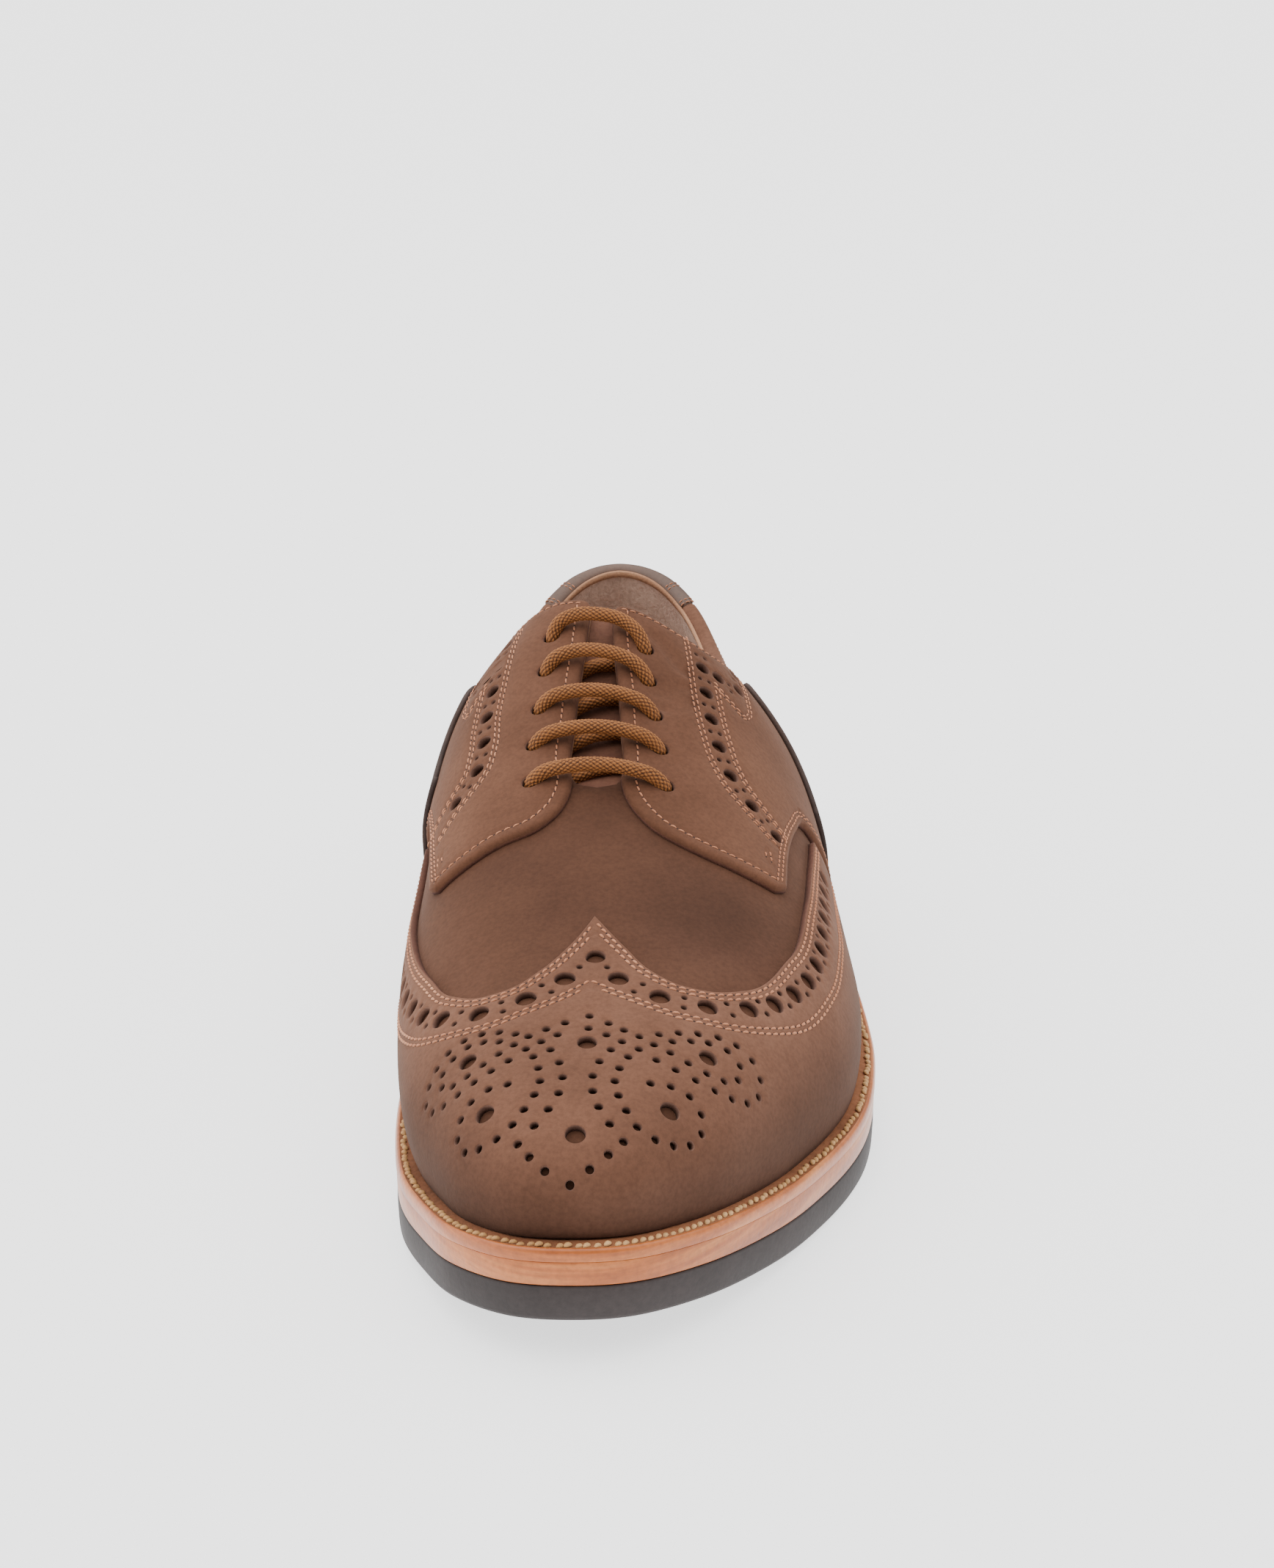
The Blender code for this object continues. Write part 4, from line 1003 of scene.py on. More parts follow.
def top_curve(side, first=0.0):
    """The top line from the facing, or from a row behind it, to the back of the heel."""
    curve = table_curve(TOP_EDGE, side, EDGE_PITCH)
    ahead = np.nonzero(curve[:, 1] <= ridge(first)[1])[0]
    return curve[ahead[-1] + 1:] if len(ahead) else curve


def open_edge(side, first):
    """Facing and top line in one, with the corner between them rounded off."""
    curve = even(np.concatenate([facing_curve(side, first), top_curve(side)]), EDGE_PITCH)
    for _ in range(CORNER_ROUNDS):
        curve[1:-1] = 0.25 * curve[:-2] + 0.5 * curve[1:-1] + 0.25 * curve[2:]
    return curve


def own_half(line, side):
    """The part of a line that lies on its own side of the ridge."""
    return line[side * (line[:, 0] - np.interp(line[:, 1], RIDGE_Y, RIDGE_X)) > RIDGE_CLEARANCE]


def wing_lines():
    """Stitch rows of the wing, each running from the peak to its end."""
    rows = []
    for side in SIDES:
        edge = table_curve(WING_EDGE, side)
        lower = table_curve(WING_LOWER, side)
        for inset in (WING_STITCH_INSET, WING_STITCH_INSET + ROW_GAP):
            rows.append(own_half(beside(edge, -side * inset), side))
        rows.append(lower)
        rows.append(own_half(beside(lower, -side * ROW_GAP), side))
    return rows


def band_holes(line, pitches, start, radius, pair):
    """Large holes at the given pitches along a line, with a pair of small ones between each two."""
    run = travel(place(line, 0.0))[1:]
    marks = start + np.concatenate([[0.0], np.cumsum(pitches)])
    index = np.searchsorted(run, marks[marks < run[-1] - BAND_END])
    left = beside(line, pair)
    right = beside(line, -pair)
    holes = [Hole(line[i], radius) for i in index]
    for i in (index[:-1] + index[1:]) // 2:
        holes.extend([Hole(left[i], SMALL_HOLE), Hole(right[i], SMALL_HOLE)])
    return holes


def medallion_spot(spot, side):
    """A place of the medallion, whose medial half is set a little further out than the other."""
    x, y = MEDALLION_TOP
    across, ahead = spot
    if side == MEDIAL:
        ease = np.clip(across / EASE_ACROSS, 0, 1) * np.clip(ahead / EASE_AHEAD, 0, 1)
        across += MEDALLION_SPREAD * ease
        ahead += MEDALLION_SKEW * spot.across
    return np.array([x + MEDALLION_DRIFT * ahead + side * across, y - ahead])


def wing_holes():
    """Punched holes of the wing band and of the medallion on the toe."""
    peak = np.array(WING_PEAK_HOLE)
    holes = [Hole(peak, BIG_HOLE)]
    pitches = [FRONT_PITCH] * FRONT_HOLES + [SIDE_PITCH] * SIDE_HOLES
    large = BIG_HOLE * MEDALLION_SHRINK
    for side in SIDES:
        line = table_curve(WING_HOLES, side, HOLE_LINE_PITCH)
        holes.extend(band_holes(line, pitches, 0.0, BIG_HOLE, WING_PAIR))
        holes.append(Hole(0.5 * (line[0] + peak), SMALL_HOLE))
        for chain in MEDALLION:
            curve = through([medallion_spot(spot, side) for spot in chain.spots], MEDALLION_PITCH)
            index = np.linspace(0, len(curve) - 1, chain.holes).round().astype(int)
            holes.extend(Hole(curve[i], MEDALLION_HOLE) for i in index)
        holes.extend(Hole(medallion_spot(spot, side), large) for spot in MEDALLION_BIG)
    for spots, radius in ((MEDALLION_MIDDLE, MEDALLION_HOLE), (MEDALLION_BIG_MIDDLE, large)):
        holes.extend(Hole(medallion_spot(spot, LATERAL), radius) for spot in spots)
    return holes


def wing_outline():
    edges = {side: table_curve(WING_EDGE, side) for side in SIDES}
    feet = {side: pattern(WING_FOOT_ROW, UPPER_FOOT, side) for side in SIDES}
    return joined(
        edges[MEDIAL], straight(edges[MEDIAL][-1], feet[MEDIAL]),
        foot_curve(MEDIAL, WING_FOOT_ROW, 0.0), foot_curve(LATERAL, 0.0, WING_FOOT_ROW),
        straight(feet[LATERAL], edges[LATERAL][-1]), edges[LATERAL][::-1])


def make_wing(thread):
    lines = wing_lines()
    draft = panel(wing_outline(), OVERLAY_BASE, WING_TOP, CUT_EDGE, wing_holes(), sunk_lines(lines))
    draft.piece("wing_cap_leather", [NUBUCK, RAW_EDGE, SHADED_BACKING, HOLE_WALL], ["wing_cap"], "brown_nubuck")
    sew(thread, lines, WING_TOP, WING_STITCH_WIDTH)


def quarter_outline(side):
    """Outline of a quarter, with its flap and notch edges alone."""
    flap = table_curve(FLAP_EDGE, side)
    notch = table_curve(NOTCH_EDGE, side)
    edge = open_edge(side, QUARTER_FIRST_ROW)
    foot_row = NOTCH_EDGE[-1].lateral_row
    outline = joined(
        flap, notch, straight(notch[-1], pattern(foot_row, UPPER_FOOT, side)),
        foot_curve(side, foot_row, LAST_ROW),
        straight(pattern(LAST_ROW, UPPER_FOOT, side), edge[-1]), edge[::-1])
    return outline if side == LATERAL else outline[::-1], flap, notch


def make_quarter(side, eyelets, thread):
    outline, flap, notch = quarter_outline(side)
    front = even(np.concatenate([facing_curve(side, QUARTER_FIRST_ROW)[::-1], flap]), EDGE_PITCH)
    stay = table_curve(STAY_FRONT, side)
    collar = table_curve(COLLAR_LINE, side)
    stay_back = beside(stay, side * STAY_WIDTH)
    stay_back = stay_back[stay_back[:, 1] < collar[0, 1]]
    tack = straight(*table_places(BAR_TACK, side))
    lines = [
        beside(front, side * FACING_STITCH_INSET),
        stay, beside(stay, side * STAY_GAP),
        stay_back, beside(stay_back, side * STAY_GAP),
        collar, beside(collar, side * STAY_GAP),
        beside(notch, side * NOTCH_STITCH_INSET), beside(notch, side * (NOTCH_STITCH_INSET + STAY_GAP)),
        tack, beside(tack, side * ROW_GAP),
        beside(top_curve(side), -side * TOP_STITCH_INSET),
    ]
    holes = [Hole(spot, EYELET_HOLE) for spot in eyelets[side]]
    for line, pitch, start in (
            (even(beside(stay, side * STAY_MIDDLE), HOLE_LINE_PITCH), STAY_PITCH, STAY_START[side]),
            (table_curve(COLLAR_HOLES, side, HOLE_LINE_PITCH), COLLAR_PITCH, COLLAR_START)):
        holes.extend(band_holes(line, [pitch] * BAND_MOST, start, STAY_HOLE, STAY_PAIR))
    creases = FACING_CREASES if side == LATERAL else ()
    draft = panel(outline, OVERLAY_BASE, QUARTER_TOP, ROLLED_EDGE, holes, sunk_lines(lines),
                  creases=creases)
    name = "quarter_" + SIDE_NAMES[side]
    draft.piece(name + "_leather", [SHADED_QUARTER_NUBUCK, RAW_EDGE, SHADED_BACKING, HOLE_WALL], [name], "brown_nubuck")
    sew(thread, lines, QUARTER_TOP)


def make_upper(eyelets):
    """The vamp and the layer under the overlays, with the suede lining as its inner face."""
    throat_row = float(np.interp(THROAT[0].y, station(RIDGE_ROWS, LATERAL)[:, 3], RIDGE_ROWS))
    throat = pattern(throat_row, 1.0, LATERAL)[None]
    tops = {}
    for side in SIDES:
        tops[side] = beside(open_edge(side, throat_row + FACING_CORNER_ROWS), -side * LINING_TRIM)
        tops[side][-1] = pattern(LAST_ROW, TOP_EDGE[-1].lateral, side)
    outline = joined(
        foot_curve(MEDIAL, LAST_ROW, 0.0), foot_curve(LATERAL, 0.0, LAST_ROW),
        straight(pattern(LAST_ROW, UPPER_FOOT, LATERAL), tops[LATERAL][-1]), tops[LATERAL][::-1], throat,
        tops[MEDIAL], straight(tops[MEDIAL][-1], pattern(LAST_ROW, UPPER_FOOT, MEDIAL)))
    holes = [Hole(spot, EYELET_HOLE + EYELET_ROOM) for side in SIDES for spot in eyelets[side]]
    draft = panel(outline, -UPPER_WALL, 0.0, CUT_EDGE, holes, pitch=UPPER_PITCH)
    draft.piece("upper_leather", [SHADED_VAMP_NUBUCK, TAN_EDGE, LINING, TAN_EDGE], ["upper"], "brown_nubuck")


def make_counter():
    """The heel counter, one piece round the back over both quarters; its raw edge is painted dark, partly
    the edge's own colour and partly painted shade.
    """
    up = np.linspace(0.0, 1.0, COUNTER_STEPS)[None]
    low = QUARTER_TOP + COUNTER_FOOT_RISE
    columns = []
    for side in SIDES:
        knots, tops = sided(COUNTER_TOP_EDGE, side)
        rows = np.concatenate([np.linspace(knots[0], COUNTER_SIDE_ROW, 120)[:-1],
                               np.linspace(COUNTER_SIDE_ROW, LAST_ROW, 90)])
        high = smooth(knots, tops, rows)[:, None]
        outer = UPPER_FOOT + (high - COUNTER_SHOULDER - UPPER_FOOT) * up
        inner = UPPER_FOOT + (high - UPPER_FOOT) * up[:, ::-1]
        rise = np.clip((rows[:, None] - knots[0]) / COUNTER_FRONT_ROWS, 0, 1)
        face = low + (COUNTER_TOP - low) * np.sqrt(rise)
        lifts = np.concatenate([np.broadcast_to(face, outer.shape), face - COUNTER_CUT_DROP,
                                np.full(inner.shape, QUARTER_TOP + COUNTER_BACK_RISE)], axis=1)
        heights = np.concatenate([outer, high - COUNTER_CUT, inner], axis=1)
        wall = lifted(rows[:, None], heights, side, lifts)
        columns.append(wall if side == MEDIAL else wall[::-1][1:])
    draft = Draft()
    ids = draft.add(np.concatenate(columns))
    count = ids.shape[1]
    for j in range(count):
        kind = 0 if j < COUNTER_STEPS - 1 else 1 if j < COUNTER_STEPS + 1 else 2
        draft.strip(ids[:, (j + 1) % count], ids[:, j], kind)
    for end in (ids[0], ids[-1][::-1]):
        draft.strip(end[:COUNTER_STEPS], end[-COUNTER_STEPS:][::-1], 1)
    draft.piece("counter_leather", [SHADED_QUARTER_NUBUCK, COUNTER_EDGE_AND_SHADE, SHADED_BACKING], ["counter"], "brown_nubuck")


def make_tongue(thread):
    """The tongue: sewn under the vamp at the throat, then just below the crossings of the lace."""
    knots = column(TONGUE_LIFTS, "row")
    lifts = column(TONGUE_LIFTS, "lift")
    rows = np.linspace(TONGUE_FIRST_ROW, TONGUE_LAST_ROW, 80)[:, None]
    across = np.sin(np.linspace(-1.0, 1.0, 61) * math.pi / 2)[None]
    end = np.clip((rows - TONGUE_LAST_ROW) / TONGUE_END_ROWS + 1, 0, 1)
    beyond = np.clip((np.abs(across) - 1 + TONGUE_ROUND) / TONGUE_ROUND, 0, 1)
    thick = TONGUE_WALL / 2 * np.sqrt(np.clip(1 - beyond**2, 0, 1) * np.clip(1 - end**2, 0, 1))
    x, y = ridge(rows)
    half = TONGUE_HALF_FLAT * (1 - TONGUE_NARROWING * end * end)
    flat = np.stack(np.broadcast_arrays(x + across * half, y), -1)
    middle = smooth(knots, lifts, rows) - TONGUE_SAG * across**2 - TONGUE_WALL / 2
    draft = Draft()
    draft.grid(place(flat, middle + thick))
    draft.grid(place(flat, middle - thick)[:, ::-1])
    draft.piece("tongue_leather", [TONGUE_SUEDE], ["tongue"], "brown_nubuck")
    for row in TONGUE_SEWN_ROWS:
        x, y = ridge(row)
        seam = straight(np.array([x - TONGUE_SEAM_HALF, y]), np.array([x + TONGUE_SEAM_HALF, y]))
        stitch_row(thread, seam, float(smooth(knots, lifts, row)) + TONGUE_SEAM_RISE)


def collar_line():
    """The top line round the heel: its points, the ways outward, upward and onward, and its rows."""
    parts = []
    for side in SIDES:
        curve = even(top_curve(side, BINDING_FIRST_ROW), COLLAR_STEP)
        spots = place(curve, 0.0)
        part = (spots, place(curve, 1.0) - spots, unpattern(curve)[0])
        parts.append(part if side == MEDIAL else [values[::-1][1:] for values in part])
    points, outward, rows = (np.concatenate(pair) for pair in zip(*parts))
    run = unit(np.gradient(points, axis=0))
    upward = unit(np.cross(outward, run))
    upward *= np.sign(upward[:, 2:3])
    return points, outward, upward, run, rows


def roll(draft, line, chosen, width, height, kind):
    """A soft round strip along part of the top line, closed at both ends."""
    points, outward, upward = (part[chosen] for part in line[:3])
    centre = points + upward * (height / 2 - ROLL_SINK)
    ring = around(ROLL_SIDES, outward * width / 2, upward * height / 2)
    draft.tube(centre[:, None] + soft_ends(len(points), ROLL_END, ROLL_LEAST)[:, None] * ring, kind)


def make_binding(thread):
    """The rolled collar binding, in three lengths, and the raw edge of the lining inside it."""
    line = collar_line()
    points, outward, upward, run, rows = line
    order = np.arange(len(rows))
    halves = (order < np.argmax(rows), order > np.argmax(rows))
    draft = Draft()
    roll(draft, line, rows > FOLD_ROW, BINDING_WIDTH, BINDING_HEIGHT, 0)
    for half in halves:
        roll(draft, line, half & (rows < FOLD_ROW + FOLD_OVERLAP), SIDE_ROLL_WIDTH, SIDE_ROLL_HEIGHT, 1)
    draft.piece("collar_binding_leather", [BINDING, NUBUCK], ["collar_binding"], "brown_nubuck")
    edge = Draft()
    inner = points - outward * (UPPER_WALL + LINING_EDGE_IN) + upward * LINING_EDGE_UP
    out, rise = np.array(LINING_EDGE_SECTION).T[:, None, :, None]
    edge.tube(inner[:, None] + out * outward[:, None] + rise * upward[:, None])
    edge.piece("lining_edge", [TAN_EDGE])
    angles = np.radians(ROLL_MARK_ANGLES)[:, None]
    for mark in ROLL_MARKS:
        for half in halves:
            near = order[half][np.argmin(np.abs(rows[half] - mark))]
            for at in (near - 1, near + 1):
                out = np.cos(angles) * outward[at]
                rise = np.sin(angles) * upward[at]
                normal = out + rise
                middle = points[at] + upward[at] * (BINDING_HEIGHT / 2 - ROLL_SINK)
                skin = middle + out * BINDING_WIDTH / 2 + rise * BINDING_HEIGHT / 2
                centre = skin + ROLL_MARK_RISE * normal
                beads(thread, centre, np.cross(run[at], normal), normal, ROLL_MARK_LENGTH, STITCH_WIDTH)


def mirrored(bends):
    return tuple(Bend(1 - bend.along, bend.lift) for bend in bends[::-1] if bend.along < 0.5)


def lace_route(eyelets):
    """Bars from the lateral to the medial eyelets, and diagonals under the facings up to the next."""
    flat = []
    lifts = []

    def crossing(start, end, bends, bow):
        for bend in bends + mirrored(bends):
            reach = bow * (1 - abs(2 * bend.along - 1)**3)
            flat.append(start + (end - start) * bend.along + (0.0, reach))
            lifts.append(bend.lift)

    for index, bow in enumerate(LACE_BOWS):
        medial = eyelets[MEDIAL][index]
        crossing(eyelets[LATERAL][index], medial, LACE_BAR, bow)
        if index + 1 < len(EYELETS):
            crossing(medial, eyelets[LATERAL][index + 1], LACE_UNDER, 0.0)
    return place(np.array(flat), np.array(lifts))


def make_lace(eyelets):
    """One round braided lace: a tube whose surface rises and falls with its crossing strands."""
    points = lace_route(eyelets)
    knots = travel(points)
    marks = np.linspace(0.0, knots[-1], round(knots[-1] / LACE_STEP))
    path = smooth(knots, points, marks)
    run = unit(np.gradient(path, axis=0))
    side = np.empty(run.shape)
    side[0] = np.cross(run[0], (0.0, 0.0, 1.0))
    for i in range(1, len(run)):
        side[i] = side[i - 1] - run[i] * (side[i - 1] @ run[i])
    side = unit(side)
    turns = BRAID_STRANDS * np.arange(LACE_SIDES)[None] * 2 * math.pi / LACE_SIDES
    along = (marks * 2 * math.pi / BRAID_PITCH)[:, None]
    on_top = (np.floor((turns + along) / math.pi) + np.floor((turns - along) / math.pi)) % 2 == 0
    first = np.abs(np.sin(turns + along))
    second = np.abs(np.sin(turns - along))
    over = np.where(on_top, first, second)
    under = np.where(on_top, second, first)
    relief = over * (1 - BRAID_DIP + BRAID_DIP * under)
    radius = LACE_RADIUS * (1 + BRAID_RELIEF * (relief - 1)) * soft_ends(len(path), LACE_END, LACE_LEAST)
    draft = Draft()
    ring = around(LACE_SIDES, side, np.cross(run, side))
    ids = draft.grid(path[:, None] + radius[..., None] * ring, closed=True)
    draft.join([ids[0], ids[-1][::-1]])
    lace = draft.piece("braided_lace", [LACE], ["lace"], "golden_brown_lace")
    height = lace.data.attributes.new("relief", "FLOAT", "POINT")
    height.data.foreach_set("value", relief.ravel())


Rim = namedtuple("Rim", "inset share drop")


def sole_ring(inset, first_row):
    """Outline of a sole layer in plan, counter-clockwise from the toe or from the heel's breast."""
    rows = np.linspace(first_row, LAST_ROW, round((LAST_ROW - first_row) * SOLE_ROW_STEPS) + 1)
    lateral = sole_edge(rows, LATERAL, inset)[0]
    medial = sole_edge(rows, MEDIAL, inset)[0]
    closing = medial[1:-1][::-1] if first_row == 0 else medial[:-1][::-1]
    return np.concatenate([lateral, closing])


def sole_layer(name, node, slot, profile, top, bottom, shades, first_row=0.0, channel=0, filled=True):
    """One layer of the sole: a rounded profile carried round its outline, filled in above and below.

    The profile's first faces, as many as the channel has, take the second shade.
    """
    rings = []
    for rim in profile:
        plan = sole_ring(rim.inset, first_row)
        high = top(plan[:, 1])
        z = high + (bottom(plan[:, 1]) - high) * rim.share - rim.drop
        rings.append(np.concatenate([plan, z[:, None]], axis=1))
    draft = Draft()
    ids = draft.add(np.stack(rings))
    for j in range(len(profile) - 1):
        draft.strip(ids[j + 1], ids[j], 1 if j < channel else 0, closed=True)
    if not filled:
        draft.strip(ids[0], ids[-1], closed=True)
    for ring, turn in ((ids[0], 1), (ids[-1], -1)) if filled else ():
        half = (len(ring) + 2) // 2 if first_row == 0 else (len(ring) + 1) // 2
        lateral = ring[:half]
        medial = np.concatenate([ring[half:][::-1], ring[half - 1:half]])
        if first_row == 0:
            medial = np.concatenate([ring[:1], medial])
        for face in np.stack([lateral[:-1], lateral[1:], medial[1:], medial[:-1]], 1).tolist():
            draft.join([list(dict.fromkeys(face))[::turn]])
    draft.piece(name, shades, [node], slot)


def below(depth):
    return lambda y: welt_top(y) - depth


def level(z):
    return lambda y: np.full(np.shape(y), z)


def make_sole():
    """Welt with its stitch channel, midsole, outsole, heel and top piece."""
    welt = (
        Rim(SOLE_REACH, 0.0, 0.7), Rim(4.6, 0.0, 0.7), Rim(3.2, 0.0, 0.9), Rim(1.4, 0.0, 1.2),
        Rim(1.0, 0.0, 1.1), Rim(0.55, 0.0, 1.3), Rim(0.2, 0.0, 1.7), Rim(0.0, 0.0, 2.4),
        Rim(0.0, 1.0, -0.1), Rim(0.05, 1.0, -0.02), Rim(0.12, 1.0, 0.0), Rim(SOLE_REACH, 1.0, 0.0),
    )
    plain = (
        Rim(SOLE_REACH, 0.0, 0.0), Rim(0.3, 0.0, 0.0), Rim(0.18, 0.0, 0.04), Rim(0.12, 0.0, 0.15),
        Rim(0.15, 0.5, 0.0), Rim(0.2, 1.0, -0.4), Rim(0.32, 1.0, -0.12), Rim(0.6, 1.0, 0.0),
        Rim(SOLE_REACH, 1.0, 0.0),
    )
    rubber = (
        Rim(SOLE_REACH, 0.0, 0.0), Rim(1.0, 0.0, 0.0), Rim(0.5, 0.0, 0.15), Rim(0.25, 0.0, 0.6),
        Rim(0.2, 0.5, 0.0), Rim(0.3, 1.0, -1.2), Rim(0.7, 1.0, -0.4), Rim(1.5, 1.0, 0.0),
        Rim(SOLE_REACH, 1.0, 0.0),
    )
    block = tuple(Rim(rim.inset + HEEL_INSET, rim.share, rim.drop) for rim in plain)
    deep = WELT_THICKNESS + WELT_SEAM
    deeper = deep + MIDSOLE_THICKNESS
    sole_layer("welt_leather", "welt", "tan_welt_leather", welt, below(0.0), below(WELT_THICKNESS),
               [WELT_TAN, CHANNEL], channel=4, filled=False)
    sole_layer("midsole_leather", "midsole", "tan_welt_leather", plain, below(deep), below(deeper),
               [WELT_TAN])
    sole_layer("outsole_rubber", "outsole", "dark_rubber", rubber, below(deeper + SOLE_SEAM),
               below(SOLE_PACK), [RUBBER])
    sole_layer("heel_rubber", "heel", "dark_rubber", block, below(SOLE_PACK + SOLE_SEAM),
               level(TOP_PIECE_THICKNESS + SOLE_SEAM), [RUBBER], HEEL_BREAST)
    sole_layer("heel_top_piece_rubber", "heel_top_piece", "dark_rubber", block,
               level(TOP_PIECE_THICKNESS), level(0.0), [RUBBER], HEEL_BREAST)


def make_welt_stitches():
    """Heavy lock stitches in the welt's channel, all round the shoe."""
    rows = np.linspace(0.0, LAST_ROW, 2400)
    plan = np.concatenate([sole_edge(rows, MEDIAL, WELT_STITCH_INSET)[0][::-1],
                           sole_edge(rows, LATERAL, WELT_STITCH_INSET)[0][1:]])
    points = np.concatenate([plan, (welt_top(plan[:, 1]) - WELT_STITCH_DROP)[:, None]], axis=1)
    run = travel(points)
    marks = np.arange(WELT_STITCH_PITCH, run[-1] - WELT_STITCH_PITCH, WELT_STITCH_PITCH)
    index = np.searchsorted(run, marks)
    ahead = unit(points[index + 3] - points[index - 3])
    up = np.array([0.0, 0.0, 1.0]) - ahead * ahead[:, 2:3]
    ahead = unit(ahead + WELT_STITCH_SLANT * np.cross(up, ahead))
    uneven = np.random.default_rng(WELT_STITCH_SEED).normal(0.0, WELT_STITCH_SPREAD, (len(index), 3))
    draft = Draft()
    beads(draft, points[index] + uneven, ahead, up, WELT_STITCH_LENGTH, WELT_STITCH_WIDTH)
    draft.piece("welt_stitches", [WELT_THREAD])


GREY_LOW = (0.62, 0.62, 0.62, 1.0)
WHITE = (1.0, 1.0, 1.0, 1.0)
SPECKLE_STOPS = (0.3, 0.62)
GRAIN_STOPS = (0.32, 0.5, 0.7)
NUBUCK_STOPS = (0.3, 0.5, 0.72)
BRAID_STOPS = (0.08, 0.42, 0.9)
SPECULAR = 0.3
NUBUCK_SPECULAR = 0.1
# Painted shade: the nubuck darkens towards the welt, between these heights in the imported frame, for the
# shade low on the toe
PAINTED_LOW_SHADE = (0.47, 0.46, 0.46, 1.0)
PAINTED_LOW_SHADE_FROM = 0.027
PAINTED_LOW_SHADE_TO = 0.05
SHEEN_TINT = (0.9, 0.66, 0.52, 1.0)
# One broad darker patch of the vamp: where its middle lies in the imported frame, and how far it reaches
PATCH_TONE = (0.64, 0.63, 0.65, 1.0)
VAMP_PATCH = (0.017, -0.06, 0.061)
PATCH_REACH = 0.034
OVERHEAD = (0.0, 0.12, 0.993)
SURROUND = 0.45
DOME = 3.2
DOME_FROM = 0.4
DOME_TO = 0.9
SIDE_LIGHT = 1.7
SIDE_SHIFT = 0.2
FLOOR_REACH = 30.0
FLOOR_GLOW = 1.5
FLOOR_TONES = ((0.52, 0.52, 0.52, 1.0), (0.53, 0.53, 0.53, 1.0))
LAMP_PLACE = (-0.2, 0.25, 1.4)
LAMP_TURN = (math.radians(-10), math.radians(-8), 0.0)
CAMERA_PLACE = (-0.0007, -0.6204, 0.30284)
CAMERA_TILT = math.radians(69.7)


def linear(tone):
    """Linear colour from 8-bit values."""
    values = np.array(tone) / 255
    return (*np.where(values <= 0.04045, values / 12.92, ((values + 0.055) / 1.055)**2.4).tolist(), 1.0)


class Nodes:
    """The nodes of a material or of the world."""

    def __init__(self, owner):
        owner.use_nodes = True
        self.tree = owner.node_tree

    def fill(self, node, inputs):
        """Each input is set to its value, or linked where the value is a socket."""
        for name, value in inputs.items():
            if isinstance(value, bpy.types.NodeSocket):
                self.tree.links.new(value, node.inputs[name])
            else:
                node.inputs[name].default_value = value

    def add(self, kind, output, inputs, **settings):
        """A new node, of which one output is given back."""
        node = self.tree.nodes.new("ShaderNode" + kind)
        for name, value in settings.items():
            setattr(node, name, value)
        self.fill(node, inputs)
        return node.outputs[output]


class Shade(Nodes):
    """A procedural material in the making, with its principled shader."""

    def __init__(self, name, inputs):
        self.material = bpy.data.materials.new(name)
        super().__init__(self.material)
        self.shader = self.tree.nodes["Principled BSDF"]
        self.fill(self.shader, inputs)
        self.place = self.add("TexCoord", "Object", {})

    def noise(self, scale, detail=4.0, roughness=0.55, stretch=None):
        source = self.place
        if stretch:
            source = self.add("Mapping", "Vector", {"Vector": source, "Scale": stretch})
        return self.add("TexNoise", "Fac", {"Vector": source, "Scale": scale, "Detail": detail,
                                            "Roughness": roughness})

    def ramp(self, source, stops, colours):
        colour = self.add("ValToRGB", "Color", {"Fac": source})
        elements = colour.node.color_ramp.elements
        while len(elements) < len(stops):
            elements.new(0.5)
        for element, stop, tone in zip(elements, stops, colours):
            element.position = stop
            element.color = tone
        return colour

    def tones(self, source, stops, colours):
        """A ramp of 8-bit colours."""
        return self.ramp(source, stops, [linear(colour) for colour in colours])

    def shadow(self, source, reach, tone):
        """A tone that fades to white as the source goes through its reach."""
        low, high = reach
        share = self.add("MapRange", "Result", {"Value": source, "From Min": low, "From Max": high},
                         interpolation_type="SMOOTHSTEP")
        return self.ramp(share, (0.0, 1.0), (tone, WHITE))

    def multiply(self, first, second, share=1.0):
        return self.add("Mix", 2, {"Factor": share, 6: first, 7: second}, data_type="RGBA",
                        blend_type="MULTIPLY")

    def speckle(self, colour, fine, share):
        return self.multiply(colour, self.ramp(fine, SPECKLE_STOPS, (GREY_LOW, WHITE)), share)

    def bump(self, source, strength, distance):
        inputs = {"Strength": strength, "Distance": distance * MM, "Height": source}
        before = self.shader.inputs["Normal"].links
        if before:
            inputs["Normal"] = before[0].from_socket
        self.fill(self.shader, {"Normal": self.add("Bump", "Normal", inputs)})


def grained(name, colours, roughness, patch=22.0, grain=700.0, depth=0.12, stretch=None,
            sheen=0.0, coat=0.0):
    """Leather or rubber: broad patches of three tones, and a fine grain in colour and relief."""
    shade = Shade(name, {"Roughness": roughness, "Specular IOR Level": SPECULAR})
    tones = shade.tones(shade.noise(patch, 5.0, 0.6, stretch), GRAIN_STOPS, colours)
    fine = shade.noise(grain, 3.0, 0.6)
    shade.fill(shade.shader, {"Base Color": shade.speckle(tones, fine, 0.6)})
    shade.bump(shade.noise(patch * 6, 3.0), 0.5, depth * 2)
    shade.bump(fine, 0.6, depth)
    if sheen:
        shade.fill(shade.shader, {"Sheen Weight": sheen, "Sheen Roughness": 0.5})
    if coat:
        shade.fill(shade.shader, {"Coat Weight": coat, "Coat Roughness": 0.3})
    return shade.material


